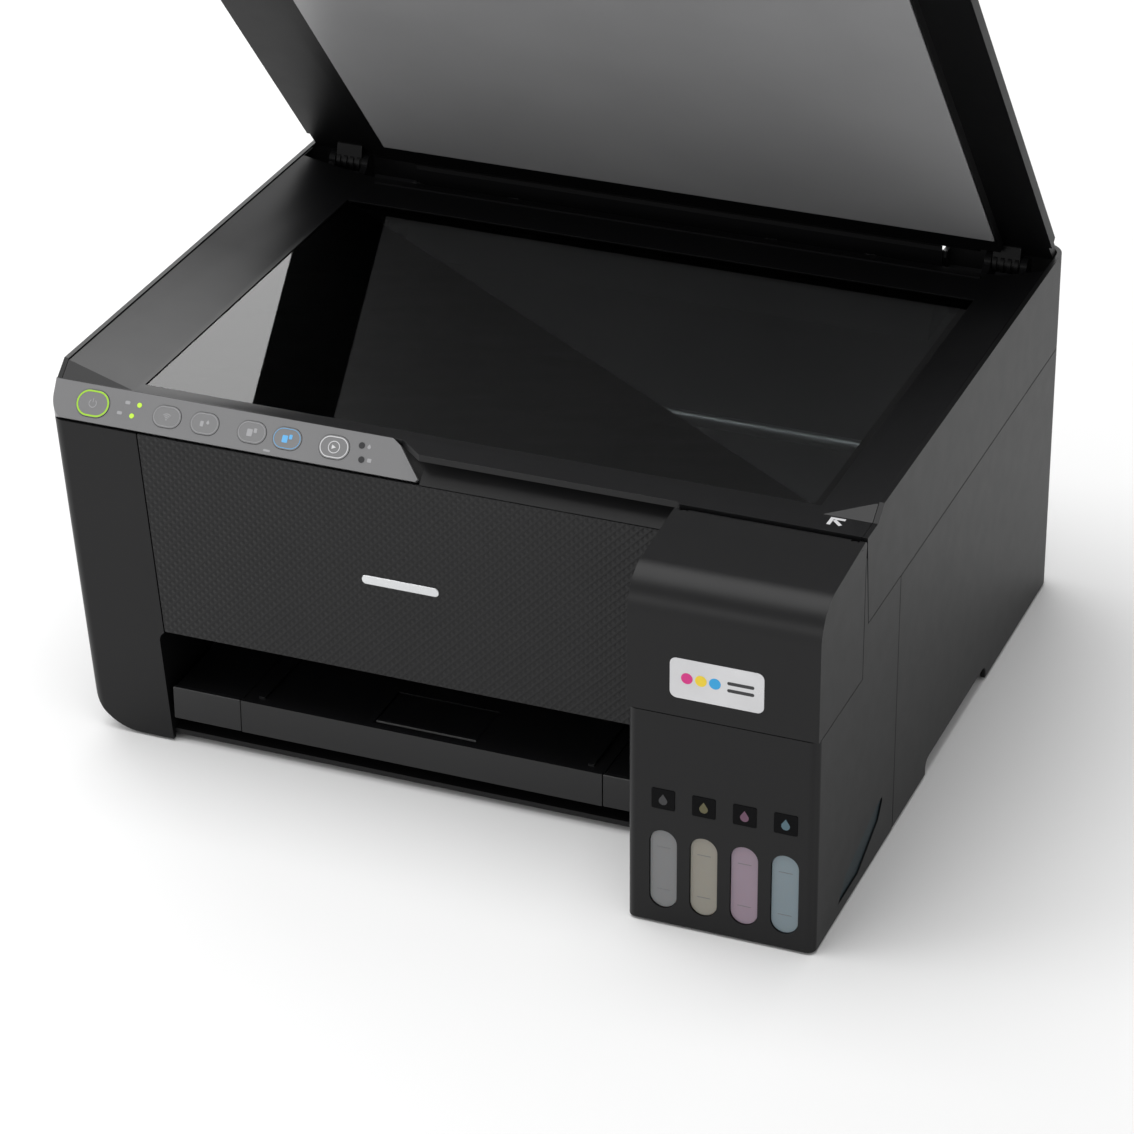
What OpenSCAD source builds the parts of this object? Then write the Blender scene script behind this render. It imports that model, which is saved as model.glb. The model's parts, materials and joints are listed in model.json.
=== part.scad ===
// Ink-tank printer with a flatbed scanner.
// Origin: centre of the footprint on the table. +X right, +Y to the back, +Z up. Millimetres.

/* [Overall size] */
// Width of the whole printer
body_w = 375; // [340:1:460]
// Depth from the tank housing's front to the back
body_d = 347; // [320:1:430]
// Height with the scanner lid closed
body_h = 179; // [165:1:215]
// How far the tank housing stands out from the front panel
tank_projection = 58.3; // [50:0.1:70]
// Inward lean of the left side towards the floor, in degrees
side_lean = 4.63; // [0:0.01:6]

/* [Casing] */
// Wall thickness of the moulded casing
wall = 2.5; // [1.8:0.1:3.2]
// Radius of the upright front-left corner
corner_r = 6; // [4:0.5:12]
// Radius of the upright back corners
back_r = 12; // [6:0.5:16]
// Radius of the rounded edge between left side and floor
floor_r = 25; // [8:0.5:28]
// Gap shown between neighbouring casing pieces
seam = 0.4; // [0.2:0.05:0.6]
// Height of the scanner unit, from the side seam to the top
unit_h = 53.5; // [51:0.5:59]
// Height of the sloping control strip
strip_h = 13.2; // [11.7:0.1:17.7]

/* [Paper output] */
// Height of the bottom edge of the front panel
slot_top_z = 56; // [52:0.5:60]
// Height of the tray lip's top edge
lip_top_z = 28.5; // [26:0.5:32]
// Height of the tray lip's bottom edge
lip_bottom_z = 12.5; // [9:0.5:16]
// Travel of the output tray's sliding part
tray_travel = 82; // [60:1:90]

/* [Ink tanks] */
// Width of the tank housing
tank_w = 82.3; // [78:0.1:99]
// Height of the seam between tank housing and tank cover
tank_seam_z = 102; // [98:0.5:106]
// Radius of the tank cover's front edge
cover_r = 17.6; // [10:0.1:22]
// Distance between neighbouring tank windows
window_pitch = 17.7; // [16.5:0.1:19]
// Width of a tank window
window_w = 11.7; // [9:0.1:13]
// Height of a tank window
window_h = 37.5; // [30:0.5:42]

/* [Scanner] */
// Width of the scanner glass
glass_w = 309; // [280:1:309]
// Depth of the scanner glass
glass_d = 211; // [200:1:211]
// Angle at which the lid stands open
lid_open = 49.5; // [0:0.5:55]
// Thickness of the glass
glass_t = 2.8; // [2:0.1:3.5]

/* [Control panel] */
// Height of a push-button up the slope
button_h = 9.6; // [7:0.1:11]
// Width of a push-button along the strip
button_w = 13.4; // [11:0.1:14.5]
// Clearance round a push-button
button_gap = 0.2; // [0.15:0.05:0.4]
// How far a push-button stands out of the strip
button_proud = 0.25; // [0.1:0.05:0.5]

/* [Mechanism] */
// Gear module
gear_m = 1; // [0.8:0.1:1]
// Radius of the roller shafts
shaft_r = 3; // [2.5:0.1:3.5]
// Radial clearance of shafts in their bearings
shaft_gap = 0.05; // [0.02:0.01:0.1]
// Radius of the feed and exit rollers
roller_r = 6; // [5:0.1:7]
// Radius of the carriage guide rod
rod_r = 4; // [3:0.1:5]
// Pitch radius of the belt pulleys
pulley_r = 6; // [5:0.1:8]

/* [Hidden] */
$fn = 64;
eps = 0.01;
far = 600;

// Planes of the body
left = -body_w / 2;
right = body_w / 2;
back = body_d / 2;
tank_front = -body_d / 2;
front = tank_front + tank_projection;
tank_left = right - tank_w;
base_z = 1.2;
pan_z = 3;
pan_t = 2.5;

// Scanner unit
rim_z = body_h - 6;
deck_z = body_h - 11.7;
glass_z = deck_z - 0.5;
lean_z = rim_z;
case_wall = 2.2;
glass_x1 = right - 26.5;
glass_x0 = glass_x1 - glass_w;
glass_y0 = front + 18.2;
glass_y1 = glass_y0 + glass_d;
shelf_y = front + 15.5;
lid_hinge = [back - 18.5, deck_z + 0.9];
lid_swing = 12;
knuckle_x = right - 23;
unit_hinge = [back - 5, deck_z - 7.3];
unit_front_y = front - 2;
side_seam_z = body_h - unit_h;
unit_bottom = side_seam_z + seam;

// Control panel: a strip that slopes from the deck down to the front face
panel_top = [front + 10.2, deck_z];
panel_bottom = [front, deck_z - strip_h];
front_top_z = panel_bottom[1] - 1.6;
panel_t = 2;
panel_rise = panel_top - panel_bottom;
panel_len = norm(panel_rise);
panel_tilt = atan2(panel_rise[1], panel_rise[0]);
panel_right_low = left + 175.5;
panel_right_top = left + 162.5;
button_x = [20.5, 56.2, 74.2, 96.6, 113.2, 135.2];
button_extra = [1.2, 0, 0, 0, 0, 0.3];
light_at = [[42.3, 11.2], [39.8, 6], [147.4, 11.2], [148.6, 5.2]];

// Paper output slot
pillar_w = 41.4;
slot_left = side_x(lip_bottom_z) + pillar_w - 0.898;
slot_right = tank_left - 0.4;
slide_x0 = slot_left + 33.7;
slide_x1 = slot_right - 33.7;
tray_t = 2.5;

// Ink tanks
cover_slope = 5.26;
cover_back = front - 3.3;
cover_hinge = [front - 5.3, deck_z - 3.2];
cover_hinge_r = 2.8;
window_x0 = tank_left + (tank_w - 3 * window_pitch - window_w) / 2 + 1.4;
window_z0 = 8.5;
tank_top_z = 97;
neck_r = 5.2;
plug_r = 3.4;
side_window = [tank_front + 31, tank_front + 88, 6.5, 26.5];

// Paper feeder at the back
feeder_half = 115;
chute_top = [back - 6, body_h - 29];
chute_foot = [back - 74, 62];
chute_t = 2;
support_t = 1.1;
notch_x = feeder_half + 15;
notch_y = back - 12.5;
bracket_x = feeder_half + 5.5;
hinge_pin_r = 2.2;

// Mechanism
axis_z = 49;
frame_x0 = side_x(axis_z) + 27.958;
frame_x1 = right - 20;
frame_t = 1.2;
frame_y = front + 163;
feed_y = front + 137;
feed_teeth = 36;
idler_teeth = 26;
exit_teeth = 24;
pinion_teeth = 16;
gear_w = 5;
gear_x = frame_x0 - frame_t - 0.6 - gear_w;
function pitch_r(n) = n * gear_m / 2;
idler_y = feed_y - pitch_r(feed_teeth) - pitch_r(idler_teeth);
exit_y = idler_y - pitch_r(idler_teeth) - pitch_r(exit_teeth);
pinion_z = axis_z + pitch_r(feed_teeth) + pitch_r(pinion_teeth);
paper_z = axis_z + roller_r;
rod_at = [feed_y + 10, 84];
belt_z = 98;
belt_y = frame_y - 6;
belt_w = 4;
belt_t = 1;
drive_x = frame_x0 + 14;
idle_x = frame_x1 - 14;
carriage_w = 58;
carriage_x0 = idle_x - 12 - carriage_w;
pickup_r = 14;

chute_run = chute_top - chute_foot;
chute_dir = chute_run / norm(chute_run);
chute_normal = [-chute_dir[1], chute_dir[0]];
pickup_at = chute_foot + chute_dir * 16 + chute_normal * (pickup_r + 0.6);

// ---------------------------------------------------------------- helpers

// Box between two corners
module box(low, high) {
    translate(low) cube(high - low);
}

// Rod along X
module rod_x(x0, x1, at, r) {
    translate([x0, at[0], at[1]]) rotate([0, 90, 0]) cylinder(r = r, h = x1 - x0);
}

// Rod along Y; at is [x, z]
module rod_y(y0, y1, at, r) {
    translate([at[0], y1, at[1]]) rotate([90, 0, 0]) cylinder(r = r, h = y1 - y0);
}

// Profile drawn in [y, z], swept from x0 to x1
module sweep_x(x0, x1) {
    translate([x0, 0, 0]) rotate([90, 0, 90]) linear_extrude(x1 - x0) children();
}

// Profile drawn in [x, z], swept from y0 to y1
module sweep_y(y0, y1) {
    translate([0, y1, 0]) rotate([90, 0, 0]) linear_extrude(y1 - y0) children();
}

// Flat rectangle with round corners
module round_rect(x0, x1, y0, y1, r) {
    translate([x0 + r, y0]) square([x1 - x0 - 2 * r, y1 - y0]);
    translate([x0, y0 + r]) square([x1 - x0, y1 - y0 - 2 * r]);
    for (x = [x0 + r, x1 - r], y = [y0 + r, y1 - r]) translate([x, y]) circle(r = r);
}

// Turns its children so that upright walls lean like the left side
module leaning() {
    translate([left, 0, lean_z]) rotate([0, -side_lean, 0]) translate([-left, 0, -lean_z])
        children();
}

// Whole outer form of the casing behind the front face, pulled in by inset
module outer_form(inset = 0) {
    intersection() {
        leaning() translate([0, 0, -60]) linear_extrude(300)
            round_rect(left + inset, right + 100, front + inset, back - inset, corner_r - inset);
        translate([0, 0, -60]) linear_extrude(300)
            round_rect(left - 100, right - inset, front - 50, back - inset, back_r - inset);
    }
}

// Left edge of the casing at height z
function side_x(z) = left + (lean_z - z) * tan(side_lean);

// Trims the casing's lower left edge to a round
module floor_round(inset = 0) {
    r = floor_r - inset;
    cx = side_x(base_z + floor_r) + floor_r;
    cz = base_z + floor_r;
    sweep_y(front - 100, back + 100) {
        translate([cx, cz]) circle(r = r);
        translate([cx, base_z + inset]) square([far, far]);
        translate([cx - 100, cz]) square([far, far]);
    }
}

// Hollow casing shell between two heights
module shell(z0, z1, thick = wall) {
    intersection() {
        difference() {
            outer_form(0);
            outer_form(thick);
        }
        box([-far, -far, z0], [far, far, z1]);
        floor_round();
    }
}

// Places a child drawn in the control panel's own plane: x along the strip,
// y up the slope, z out of the face
module on_panel() {
    translate([0, panel_bottom[0], panel_bottom[1]]) rotate([panel_tilt, 0, 0]) children();
}

// Turns the closed lid to its open rest position
module opened_lid() {
    translate([0, lid_hinge[0], lid_hinge[1]]) rotate([-lid_open, 0, 0])
        translate([0, -lid_hinge[0], -lid_hinge[1]]) children();
}

// Involute gear outline
function involute(rb, a) = rb * [cos(a) + a * PI / 180 * sin(a), sin(a) - a * PI / 180 * cos(a)];
function turn(p, a) = [p[0] * cos(a) - p[1] * sin(a), p[0] * sin(a) + p[1] * cos(a)];
function inv_angle(rb, r) = sqrt(pow(r / rb, 2) - 1) * 180 / PI;
function inv_polar(rb, r) = inv_angle(rb, r) - acos(rb / r);
module gear_2d(teeth, phase = 0, backlash = 0.16) {
    rp = pitch_r(teeth);
    rb = rp * cos(20);
    ra = rp + gear_m * 0.92;
    rr = rp - gear_m * 1.25;
    half = 90 / teeth - backlash / rp * 90 / PI + inv_polar(rb, rp);
    r0 = max(rb, rr) + eps;
    flank = [for (i = [0:4]) let (r = r0 + (ra - r0) * i / 4) turn([r, 0], inv_polar(rb, r) - half)];
    back_flank = [for (i = [4:-1:0]) [flank[i][0], -flank[i][1]]];
    root_low = turn([rr, 0], -half);
    root_high = turn([rr, 0], half);
    tooth = concat([root_low], flank, back_flank, [root_high]);
    rotate(phase) polygon([for (k = [0:teeth - 1]) each [for (p = tooth) turn(p, k * 360 / teeth)]]);
}

// Gear on an X axis
module gear_x_axis(at, teeth, phase = 0, bore = 0) {
    sweep_x(gear_x, gear_x + gear_w) translate(at) difference() {
        gear_2d(teeth, phase);
        if (bore > 0) circle(r = bore);
    }
}

// ---------------------------------------------------------------- lower casing

module bottom_pan() {
    edge = seam / 2;
    x0 = side_x(pan_z) + floor_r - 3;
    color([0.05, 0.05, 0.055]) difference() {
        translate([0, 0, pan_z]) linear_extrude(pan_t) polygon([
            [x0, front + wall + edge],
            [tank_left - edge, front + wall + edge],
            [tank_left - edge, front + 45.6 + edge],
            [right - wall - edge, front + 45.6 + edge],
            [right - wall - edge, back - back_r],
            [right - back_r, back - wall - edge],
            [x0, back - wall - edge]
        ]);
        box([right - 18, front + 94, 0], [right, front + 182, 20]);
        for (x = [-3:4]) translate([x * 22 - 30, back - 150, pan_z - 1]) linear_extrude(pan_t + 2)
            round_rect(-2, 2, -14, 14, 1.9);
    }
}

// Upper left corner of the paper slot, in [x, z] of the leaning wall
pillar_edge = left + pillar_w - 2.6;
slot_r = 5;
slot_corner_z = lean_z + (slot_top_z - lean_z - pillar_w * sin(side_lean)) / cos(side_lean);
module slot_corner() {
    translate([pillar_edge + slot_r, slot_corner_z - slot_r]) circle(r = slot_r);
    translate([pillar_edge + slot_r, -60]) square([300, slot_corner_z + 60]);
    translate([pillar_edge, -60]) square([slot_r + 1, slot_corner_z + 60 - slot_r]);
}

// The pillar and side on the left, with the lower back corner
module left_cover() {
    pillar_y = shelf_y - seam - 1;
    color([0.06, 0.06, 0.065]) {
        difference() {
            intersection() {
                shell(base_z, front_top_z);
                union() {
                    leaning() box([left - 50, -far, -50], [left + pillar_w, front + wall + 20, 300]);
                    box([-far, front + wall, -50], [left + 20, back + 10, 300]);
                    box([-far, back - 60, -50], [left + 24, back + 10, 300]);
                }
            }
            box([-far, pillar_y, side_seam_z], [far, far, far]);
            leaning() sweep_y(front - 20, front + 60) slot_corner();
        }
        // return wall beside the paper slot
        intersection() {
            leaning() box([pillar_edge - wall, front + 1, 0], [pillar_edge, front + 44, 100]);
            box([-far, -far, pan_z + pan_t + 0.2], [far, far, slot_top_z - 4]);
            outer_form(0);
        }
    }
}

module right_cover() {
    y0 = front + 45.6;
    color([0.06, 0.06, 0.065]) difference() {
        intersection() {
            shell(base_z, side_seam_z);
            union() {
                box([right - 10, y0, -50], [far, back - back_r, 300]);
                box([right - 24, back - back_r - eps, -50], [far, far, 300]);
            }
        }
        // hand grip under the edge
        sweep_x(right - 20, right + 20) {
            translate([y0 + 51, base_z - 5]) square([82, 12]);
            translate([y0 + 47, base_z - 5]) square([90, 8]);
            for (y = [y0 + 51, y0 + 133]) translate([y, base_z + 3]) circle(r = 4);
        }
    }
}

module rear_cover() {
    x0 = left + 24 + seam;
    x1 = right - 24 - seam;
    raised_x = bracket_x + 2.5;
    color([0.055, 0.055, 0.06]) {
        difference() {
            union() {
                box([x0, back - wall, base_z], [x1, back, side_seam_z]);
                box([-raised_x, back - 2.2, side_seam_z - eps], [raised_x, back, chute_top[1] + 2]);
                for (s = [-1, 1]) hinge_bracket(s * bracket_x);
            }
            // mains inlet and data port
            box([psu_x0 + 8, back - wall - 5, 17], [psu_x0 + 32, back + 5, 35]);
            box([board_x + 1.4, back - wall - 5, 29.8], [board_x + 14.8, back + 5, 41.7]);
            // cooling slots
            for (i = [0:9]) translate([i * 9 - 40, back + 5, 60]) rotate([90, 0, 0])
                linear_extrude(20) round_rect(-1.6, 1.6, 0, 34, 1.5);
            for (s = [-1, 1])
                rod_x(s * bracket_x - 9, s * bracket_x + 9, unit_hinge, hinge_pin_r + shaft_gap);
        }
    }
}

// Bracket that carries a hinge pin of the scanner unit
module hinge_bracket(x) {
    sweep_x(x - 2.5, x + 2.5) {
        polygon([
            [back - 1, side_seam_z - 14], [back - 1, unit_hinge[1] - 4],
            unit_hinge + [3.8, 0], unit_hinge - [3.8, 0], [unit_hinge[0] - 3.8, side_seam_z + 6],
            [back - wall, side_seam_z - 14]
        ]);
        translate(unit_hinge) circle(r = 3.8);
    }
}

module front_panel() {
    color([0.045, 0.045, 0.05]) intersection() {
        box([left, front, slot_top_z], [slot_right, front + wall, front_top_z]);
        leaning() box([left + pillar_w + seam, -far, -50], [far, far, 300]);
    }
}

foot_at = [
    [left + 46, front + 16], [left + 46, back - 22], [right - 24, back - 22],
    [tank_left + 14, tank_front + 14], [right - 14, tank_front + 14]
];

module rubber_feet() {
    color([0.09, 0.09, 0.09]) for (i = [0:len(foot_at) - 1])
        translate([foot_at[i][0], foot_at[i][1], 0]) {
            cylinder(r = 6.5, h = i < 3 ? pan_z : base_z);
            cylinder(r = 7.5, h = 0.8);
        }
}

// ---------------------------------------------------------------- chassis

module main_frame() {
    hole = shaft_r + shaft_gap;
    cheek_y0 = exit_y - 12;
    module cheek(x) {
        sweep_x(x, x + frame_t) difference() {
            polygon([
                [cheek_y0, 36], [frame_y + frame_t, 36], [frame_y + frame_t, 116],
                [feed_y - 12, 116], [cheek_y0, 70]
            ]);
            translate([feed_y, axis_z]) circle(r = hole);
            translate([exit_y, axis_z]) circle(r = hole);
            translate(rod_at) circle(r = rod_r);
        }
    }
    color([0.6, 0.62, 0.64]) {
        cheek(frame_x0 - frame_t);
        cheek(frame_x1);
        difference() {
            box([frame_x0 - eps, frame_y, 62], [frame_x1 + eps, frame_y + frame_t, 116]);
            rod_y(frame_y - 5, frame_y + 5, [drive_x, belt_z], 5);
            for (i = [0:5]) rod_y(frame_y - 5, frame_y + 5, [drive_x + 50 + i * 36, 78], 7);
        }
        // folded top edge
        box([frame_x0 - eps, frame_y - 5, 116 - frame_t], [frame_x1 + eps, frame_y + eps, 116]);
        // stub axles for the idler gear and the idler pulley
        rod_x(gear_x - 1.2, frame_x0 - frame_t + eps, [idler_y, axis_z], shaft_r - shaft_gap);
        rod_y(belt_y - 3.4, frame_y + eps, [idle_x, belt_z], 2);
        // feet that stand on the bottom pan
        for (x = [frame_x0 + 1, frame_x1 - 17], y = [exit_y + 2, frame_y - 12]) {
            box([x, y, pan_z + pan_t], [x + 16, y + 10, pan_z + pan_t + 1.2]);
        }
        for (y = [exit_y + 2, frame_y - 12]) {
            box([frame_x0 - frame_t, y, pan_z + pan_t], [frame_x0 + 1 + eps, y + 10, 36 + eps]);
            box([frame_x1 - 1 - eps, y, pan_z + pan_t], [frame_x1 + frame_t, y + 10, 36 + eps]);
        }
    }
}

module carriage_rail() {
    color([0.75, 0.76, 0.78]) rod_x(frame_x0 - frame_t - 2, frame_x1 + frame_t + 2, rod_at, rod_r);
}

module drive_belt() {
    inner = pulley_r + 0.15;
    module loop(r) {
        translate([drive_x, belt_z]) circle(r = r);
        translate([idle_x, belt_z]) circle(r = r);
        translate([drive_x, belt_z - r]) square([idle_x - drive_x, 2 * r]);
    }
    color([0.12, 0.12, 0.12]) sweep_y(belt_y - belt_w / 2, belt_y + belt_w / 2) difference() {
        loop(inner + belt_t);
        loop(inner);
    }
}

module pulley(x) {
    y0 = belt_y - belt_w / 2;
    difference() {
        union() {
            rod_y(y0 + 0.2, y0 + belt_w - 0.2, [x, belt_z], pulley_r);
            for (y = [y0 - 1.2, y0 + belt_w + 0.3]) rod_y(y, y + 0.9, [x, belt_z], pulley_r + 1.6);
            rod_y(y0 - 0.4, y0 + belt_w + 0.4, [x, belt_z], pulley_r - 1);
        }
        rod_y(y0 - 5, y0 + belt_w + 5, [x, belt_z], 2 + shaft_gap);
    }
}

module drive_pulley() {
    color([0.85, 0.84, 0.8]) pulley(drive_x);
}

module idler_pulley() {
    color([0.85, 0.84, 0.8]) pulley(idle_x);
}

module carriage_motor() {
    y0 = frame_y + frame_t;
    color([0.5, 0.5, 0.52]) {
        rod_y(y0, y0 + 24, [drive_x, belt_z], 13);
        rod_y(y0 + 24 - eps, y0 + 27, [drive_x, belt_z], 4);
        rod_y(frame_y - 0.2, y0 + eps, [drive_x, belt_z], 4.6);
        rod_y(belt_y - 3.4, frame_y, [drive_x, belt_z], 2);
    }
}

module feed_motor() {
    x1 = gear_x - 2;
    color([0.5, 0.5, 0.52]) {
        rod_x(x1 - 16, x1 - 1, [feed_y, pinion_z], 12);
        box([x1 - 1.2, feed_y - 20, pinion_z - 9], [x1, feed_y + 20, pinion_z + 9]);
        rod_x(x1 - eps, gear_x + gear_w + 0.3, [feed_y, pinion_z], 1.5);
        for (y = [-16, 16]) rod_x(x1 - eps, frame_x0 - frame_t, [feed_y + y, pinion_z + 5], 2.5);
    }
}

module motor_pinion() {
    color([0.8, 0.7, 0.4])
        gear_x_axis([feed_y, pinion_z], pinion_teeth, 180 / pinion_teeth, 1.5 + shaft_gap);
}

// Shaft with soft rollers and a gear at its left end
module roller_shaft(y, teeth, rings, ring_w, phase) {
    rod_x(gear_x - 0.5, frame_x1 + frame_t + 3, [y, axis_z], shaft_r);
    for (x = rings) rod_x(x, x + ring_w, [y, axis_z], roller_r);
    gear_x_axis([y, axis_z], teeth, phase, 0);
}

ring_x0 = slot_left + 12;
ring_pitch = (slot_right - slot_left - 40) / 5;

module feed_roller() {
    color([0.35, 0.35, 0.36])
        roller_shaft(feed_y, feed_teeth, [slot_left + 8], slot_right - slot_left - 26, 0);
}

module exit_roller() {
    color([0.2, 0.2, 0.21])
        roller_shaft(exit_y, exit_teeth, [for (i = [0:5]) ring_x0 + i * ring_pitch], 12, 0);
}

module idler_gear() {
    color([0.85, 0.84, 0.8])
        gear_x_axis([idler_y, axis_z], idler_teeth, 180 / idler_teeth, shaft_r);
}

module pickup_roller() {
    color([0.25, 0.25, 0.26]) {
        rod_x(-feeder_half - 2, feeder_half + 2, pickup_at, shaft_r);
        for (x = [-38, 20]) rod_x(x, x + 18, pickup_at, pickup_r);
    }
}

module platen() {
    x0 = slot_left + 6;
    x1 = carriage_x0 + 2;
    y0 = exit_y + roller_r + 3;
    y1 = feed_y - roller_r - 3;
    color([0.1, 0.1, 0.11]) {
        box([x0, y0, paper_z - 8], [x1, y1, paper_z - 5]);
        for (i = [0:11]) translate([x0 + 6 + i * (x1 - x0 - 14) / 11, y0, paper_z - 5 - eps])
            cube([2, y1 - y0, 4]);
        for (x = [x0, x1 - 3], y = [y0, y1 - 3])
            box([x, y, pan_z + pan_t], [x + 3, y + 3, paper_z - 8 + eps]);
    }
}

module capping_station() {
    x0 = carriage_x0 + 3;
    x1 = carriage_x0 + carriage_w - 3;
    y0 = feed_y - 36;
    y1 = feed_y - 8;
    color([0.13, 0.13, 0.14]) {
        box([x0, y0, pan_z + pan_t], [x1, y1, paper_z - 8]);
        for (x = [x0 + 4, x0 + 28]) difference() {
            box([x, y0 + 3, paper_z - 8 - eps], [x + 18, y1 - 3, paper_z - 1.5]);
            box([x + 2, y0 + 5, paper_z - 5], [x + 16, y1 - 5, paper_z]);
        }
    }
}

module waste_ink_pad() {
    color([0.82, 0.82, 0.8]) difference() {
        box([-90, back - 78, pan_z + pan_t], [90, back - 10, 30]);
        for (i = [0:4]) box([-80 + i * 34, back - 79, 25], [-80 + i * 34 + 3, back - 9, 31]);
    }
}

module ink_tubes() {
    z = 119.5;
    clip_x = -20;
    color([0.75, 0.72, 0.6]) for (i = [0:3]) {
        x = tube_x(i);
        y = feed_y - 10 + 4 * i;
        translate([x, front + 33, tank_top_z]) cylinder(r = 1.5, h = z - tank_top_z);
        rod_y(front + 33, y, [x, z], 1.5);
        rod_x(clip_x, x, [y, z], 1.5);
        for (p = [[x, front + 33, z], [x, y, z]]) translate(p) sphere(r = 1.5);
    }
}
function tube_x(i) = window_x(i) - 4;

board_x = right - 42;
module main_board() {
    y0 = frame_y + 8;
    y1 = back - wall - 2;
    color([0.05, 0.3, 0.12]) {
        box([board_x, y0, 20], [board_x + 1.6, y1, 112]);
        box([board_x + 1.6 - eps, y0 + 20, 60], [board_x + 4, y0 + 42, 82]);
        box([board_x + 1.6 - eps, y0 + 56, 70], [board_x + 3.6, y0 + 70, 80]);
        for (i = [0:3]) translate([board_x + 1.6 - eps, y0 + 18 + i * 12, 96])
            rotate([0, 90, 0]) cylinder(r = 4, h = 11);
        // data socket
        difference() {
            box([board_x + 1.6 - eps, back - 18, 30], [board_x + 14.6, back - 0.6, 41.5]);
            box([board_x + 3.6, back - 12, 32], [board_x + 12.6, back + 5, 39.5]);
        }
    }
}

psu_x0 = left + 34;
module power_supply() {
    z0 = pan_z + pan_t;
    y1 = back - wall - 0.2;
    color([0.1, 0.1, 0.1]) {
        difference() {
            box([psu_x0, back - 118, z0], [psu_x0 + 40, y1, 46]);
            for (i = [0:6]) box([psu_x0 + 6 + i * 4, back - 108, 40], [psu_x0 + 8 + i * 4, back - 40, 50]);
            box([psu_x0 + 8.2, back - 16, 17.2], [psu_x0 + 31.8, back, 34.8]);
        }
        // figure-of-eight mains inlet
        difference() {
            box([psu_x0 + 8.2 - eps, back - 16 - eps, 17.2 - eps],
                [psu_x0 + 31.8 + eps, back - 0.4, 34.8 + eps]);
            sweep_y(back - 12, back + 2) round_rect(psu_x0 + 11.5, psu_x0 + 28.5, 21.7, 30.3, 4.2);
        }
        for (s = [-1, 1]) rod_y(back - 12 - eps, back - 3, [psu_x0 + 20 + s * 4.3, 26], 1.2);
    }
}

module case_screws() {
    color([0.6, 0.6, 0.62]) {
        for (x = [frame_x0 + 9, frame_x1 - 9], y = [exit_y + 7, frame_y - 7])
            translate([x, y, pan_z + pan_t + 1.2]) cylinder(r = 3, h = 1.6);
        for (x = [drive_x + 20, idle_x - 20]) rod_y(frame_y - 1.6, frame_y, [x, 108], 3);
    }
}

// ---------------------------------------------------------------- ink tank unit

module tank_outline(inset = 0) {
    round_rect(tank_left + inset, right - inset, tank_front + inset, front + 60, max(4 - inset, 0.8));
}

// Lens-shaped side window in [y, z]
module side_lens(grow = 0) {
    y0 = side_window[0];
    y1 = side_window[1];
    z0 = side_window[2];
    z1 = side_window[3];
    polygon([
        [y0 - grow, z0 - grow], [y0 + 26, z0 - grow], [y1 - 5, z1 - 9],
        [y1 + grow, z1 - 2], [y1 + grow, z1 + grow], [y1 - 8, z1 + grow], [y0 + 8, z0 + 9]
    ]);
}

module tank_housing() {
    y_end = front + 45.6 - seam;
    color([0.055, 0.055, 0.06]) {
        difference() {
            intersection() {
                translate([0, 0, base_z]) linear_extrude(side_seam_z - base_z) tank_outline();
                box([-far, -far, -10], [far, y_end, far]);
            }
            // hollow for the tanks, open upwards
            translate([0, 0, base_z + wall]) linear_extrude(200) difference() {
                tank_outline(wall);
                translate([-far, y_end - wall]) square([2 * far, 100]);
            }
            // the front part ends at the tank seam
            box([-far, -far, tank_seam_z], [far, cover_back + seam, far]);
            // the left side ends where the chassis begins
            box([tank_left - 10, front + 1, tank_seam_z], [right - wall - 1, far, far]);
            // windows for the tank levels
            for (i = [0:3]) window_cut(i, 0.2);
            // low notch for the tubes
            box([tank_left + 8, y_end - 20, tank_seam_z - 18], [right - 12, far, far]);
            // side window
            sweep_x(right - 10, right + 10) side_lens(0);
        }
        for (s = [0, 1]) cover_arm(s == 0 ? tank_left : right, s == 0 ? 1 : -1);
        // cheek that closes the gap between tank cover and scanner unit
        sweep_x(right - wall, right) polygon([
            [cover_back + seam, tank_seam_z - eps], [cover_back + seam, deck_z - 9],
            [cover_back + seam + 0.8, deck_z - 9],
            [unit_front(side_seam_z) - 0.5, side_seam_z - 0.3], [front + 8, tank_seam_z - eps]
        ]);
    }
}

// Arm with the pin that the tank cover turns on; dir points into the housing
module cover_arm(x, dir) {
    module slab(a, b) {
        sweep_x(min(x + dir * a, x + dir * b), max(x + dir * a, x + dir * b)) children();
    }
    slab(wall - eps, 5.5) translate([cover_hinge[0] - 2, tank_top_z + 0.5])
        square([4, tank_seam_z - tank_top_z - 0.6]);
    slab(wall + 0.8, 5.5) {
        translate([cover_hinge[0] - 2, tank_top_z + 0.5])
            square([4, cover_hinge[1] - tank_top_z - 0.5]);
        translate(cover_hinge) circle(r = 2.4);
    }
    slab(5.5 - eps, 10) translate(cover_hinge) circle(r = 1.2);
}

// Front edge of the scanner unit's side at height z: it leans back so that the unit can lift
function unit_front(z) = cover_back + seam + 0.9 + 0.11 * (deck_z - z);

module window_shape(grow) {
    r = window_w / 2 + grow;
    for (z = [window_w / 2, window_h - window_w / 2]) translate([0, window_z0 + z]) circle(r = r);
    translate([-r, window_z0 + window_w / 2]) square([2 * r, window_h - window_w]);
}

function window_x(i) = window_x0 + window_w / 2 + i * window_pitch;

module window_cut(i, grow) {
    translate([window_x(i), 0, 0]) sweep_y(tank_front - 5, tank_front + 10) window_shape(grow);
}

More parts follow.
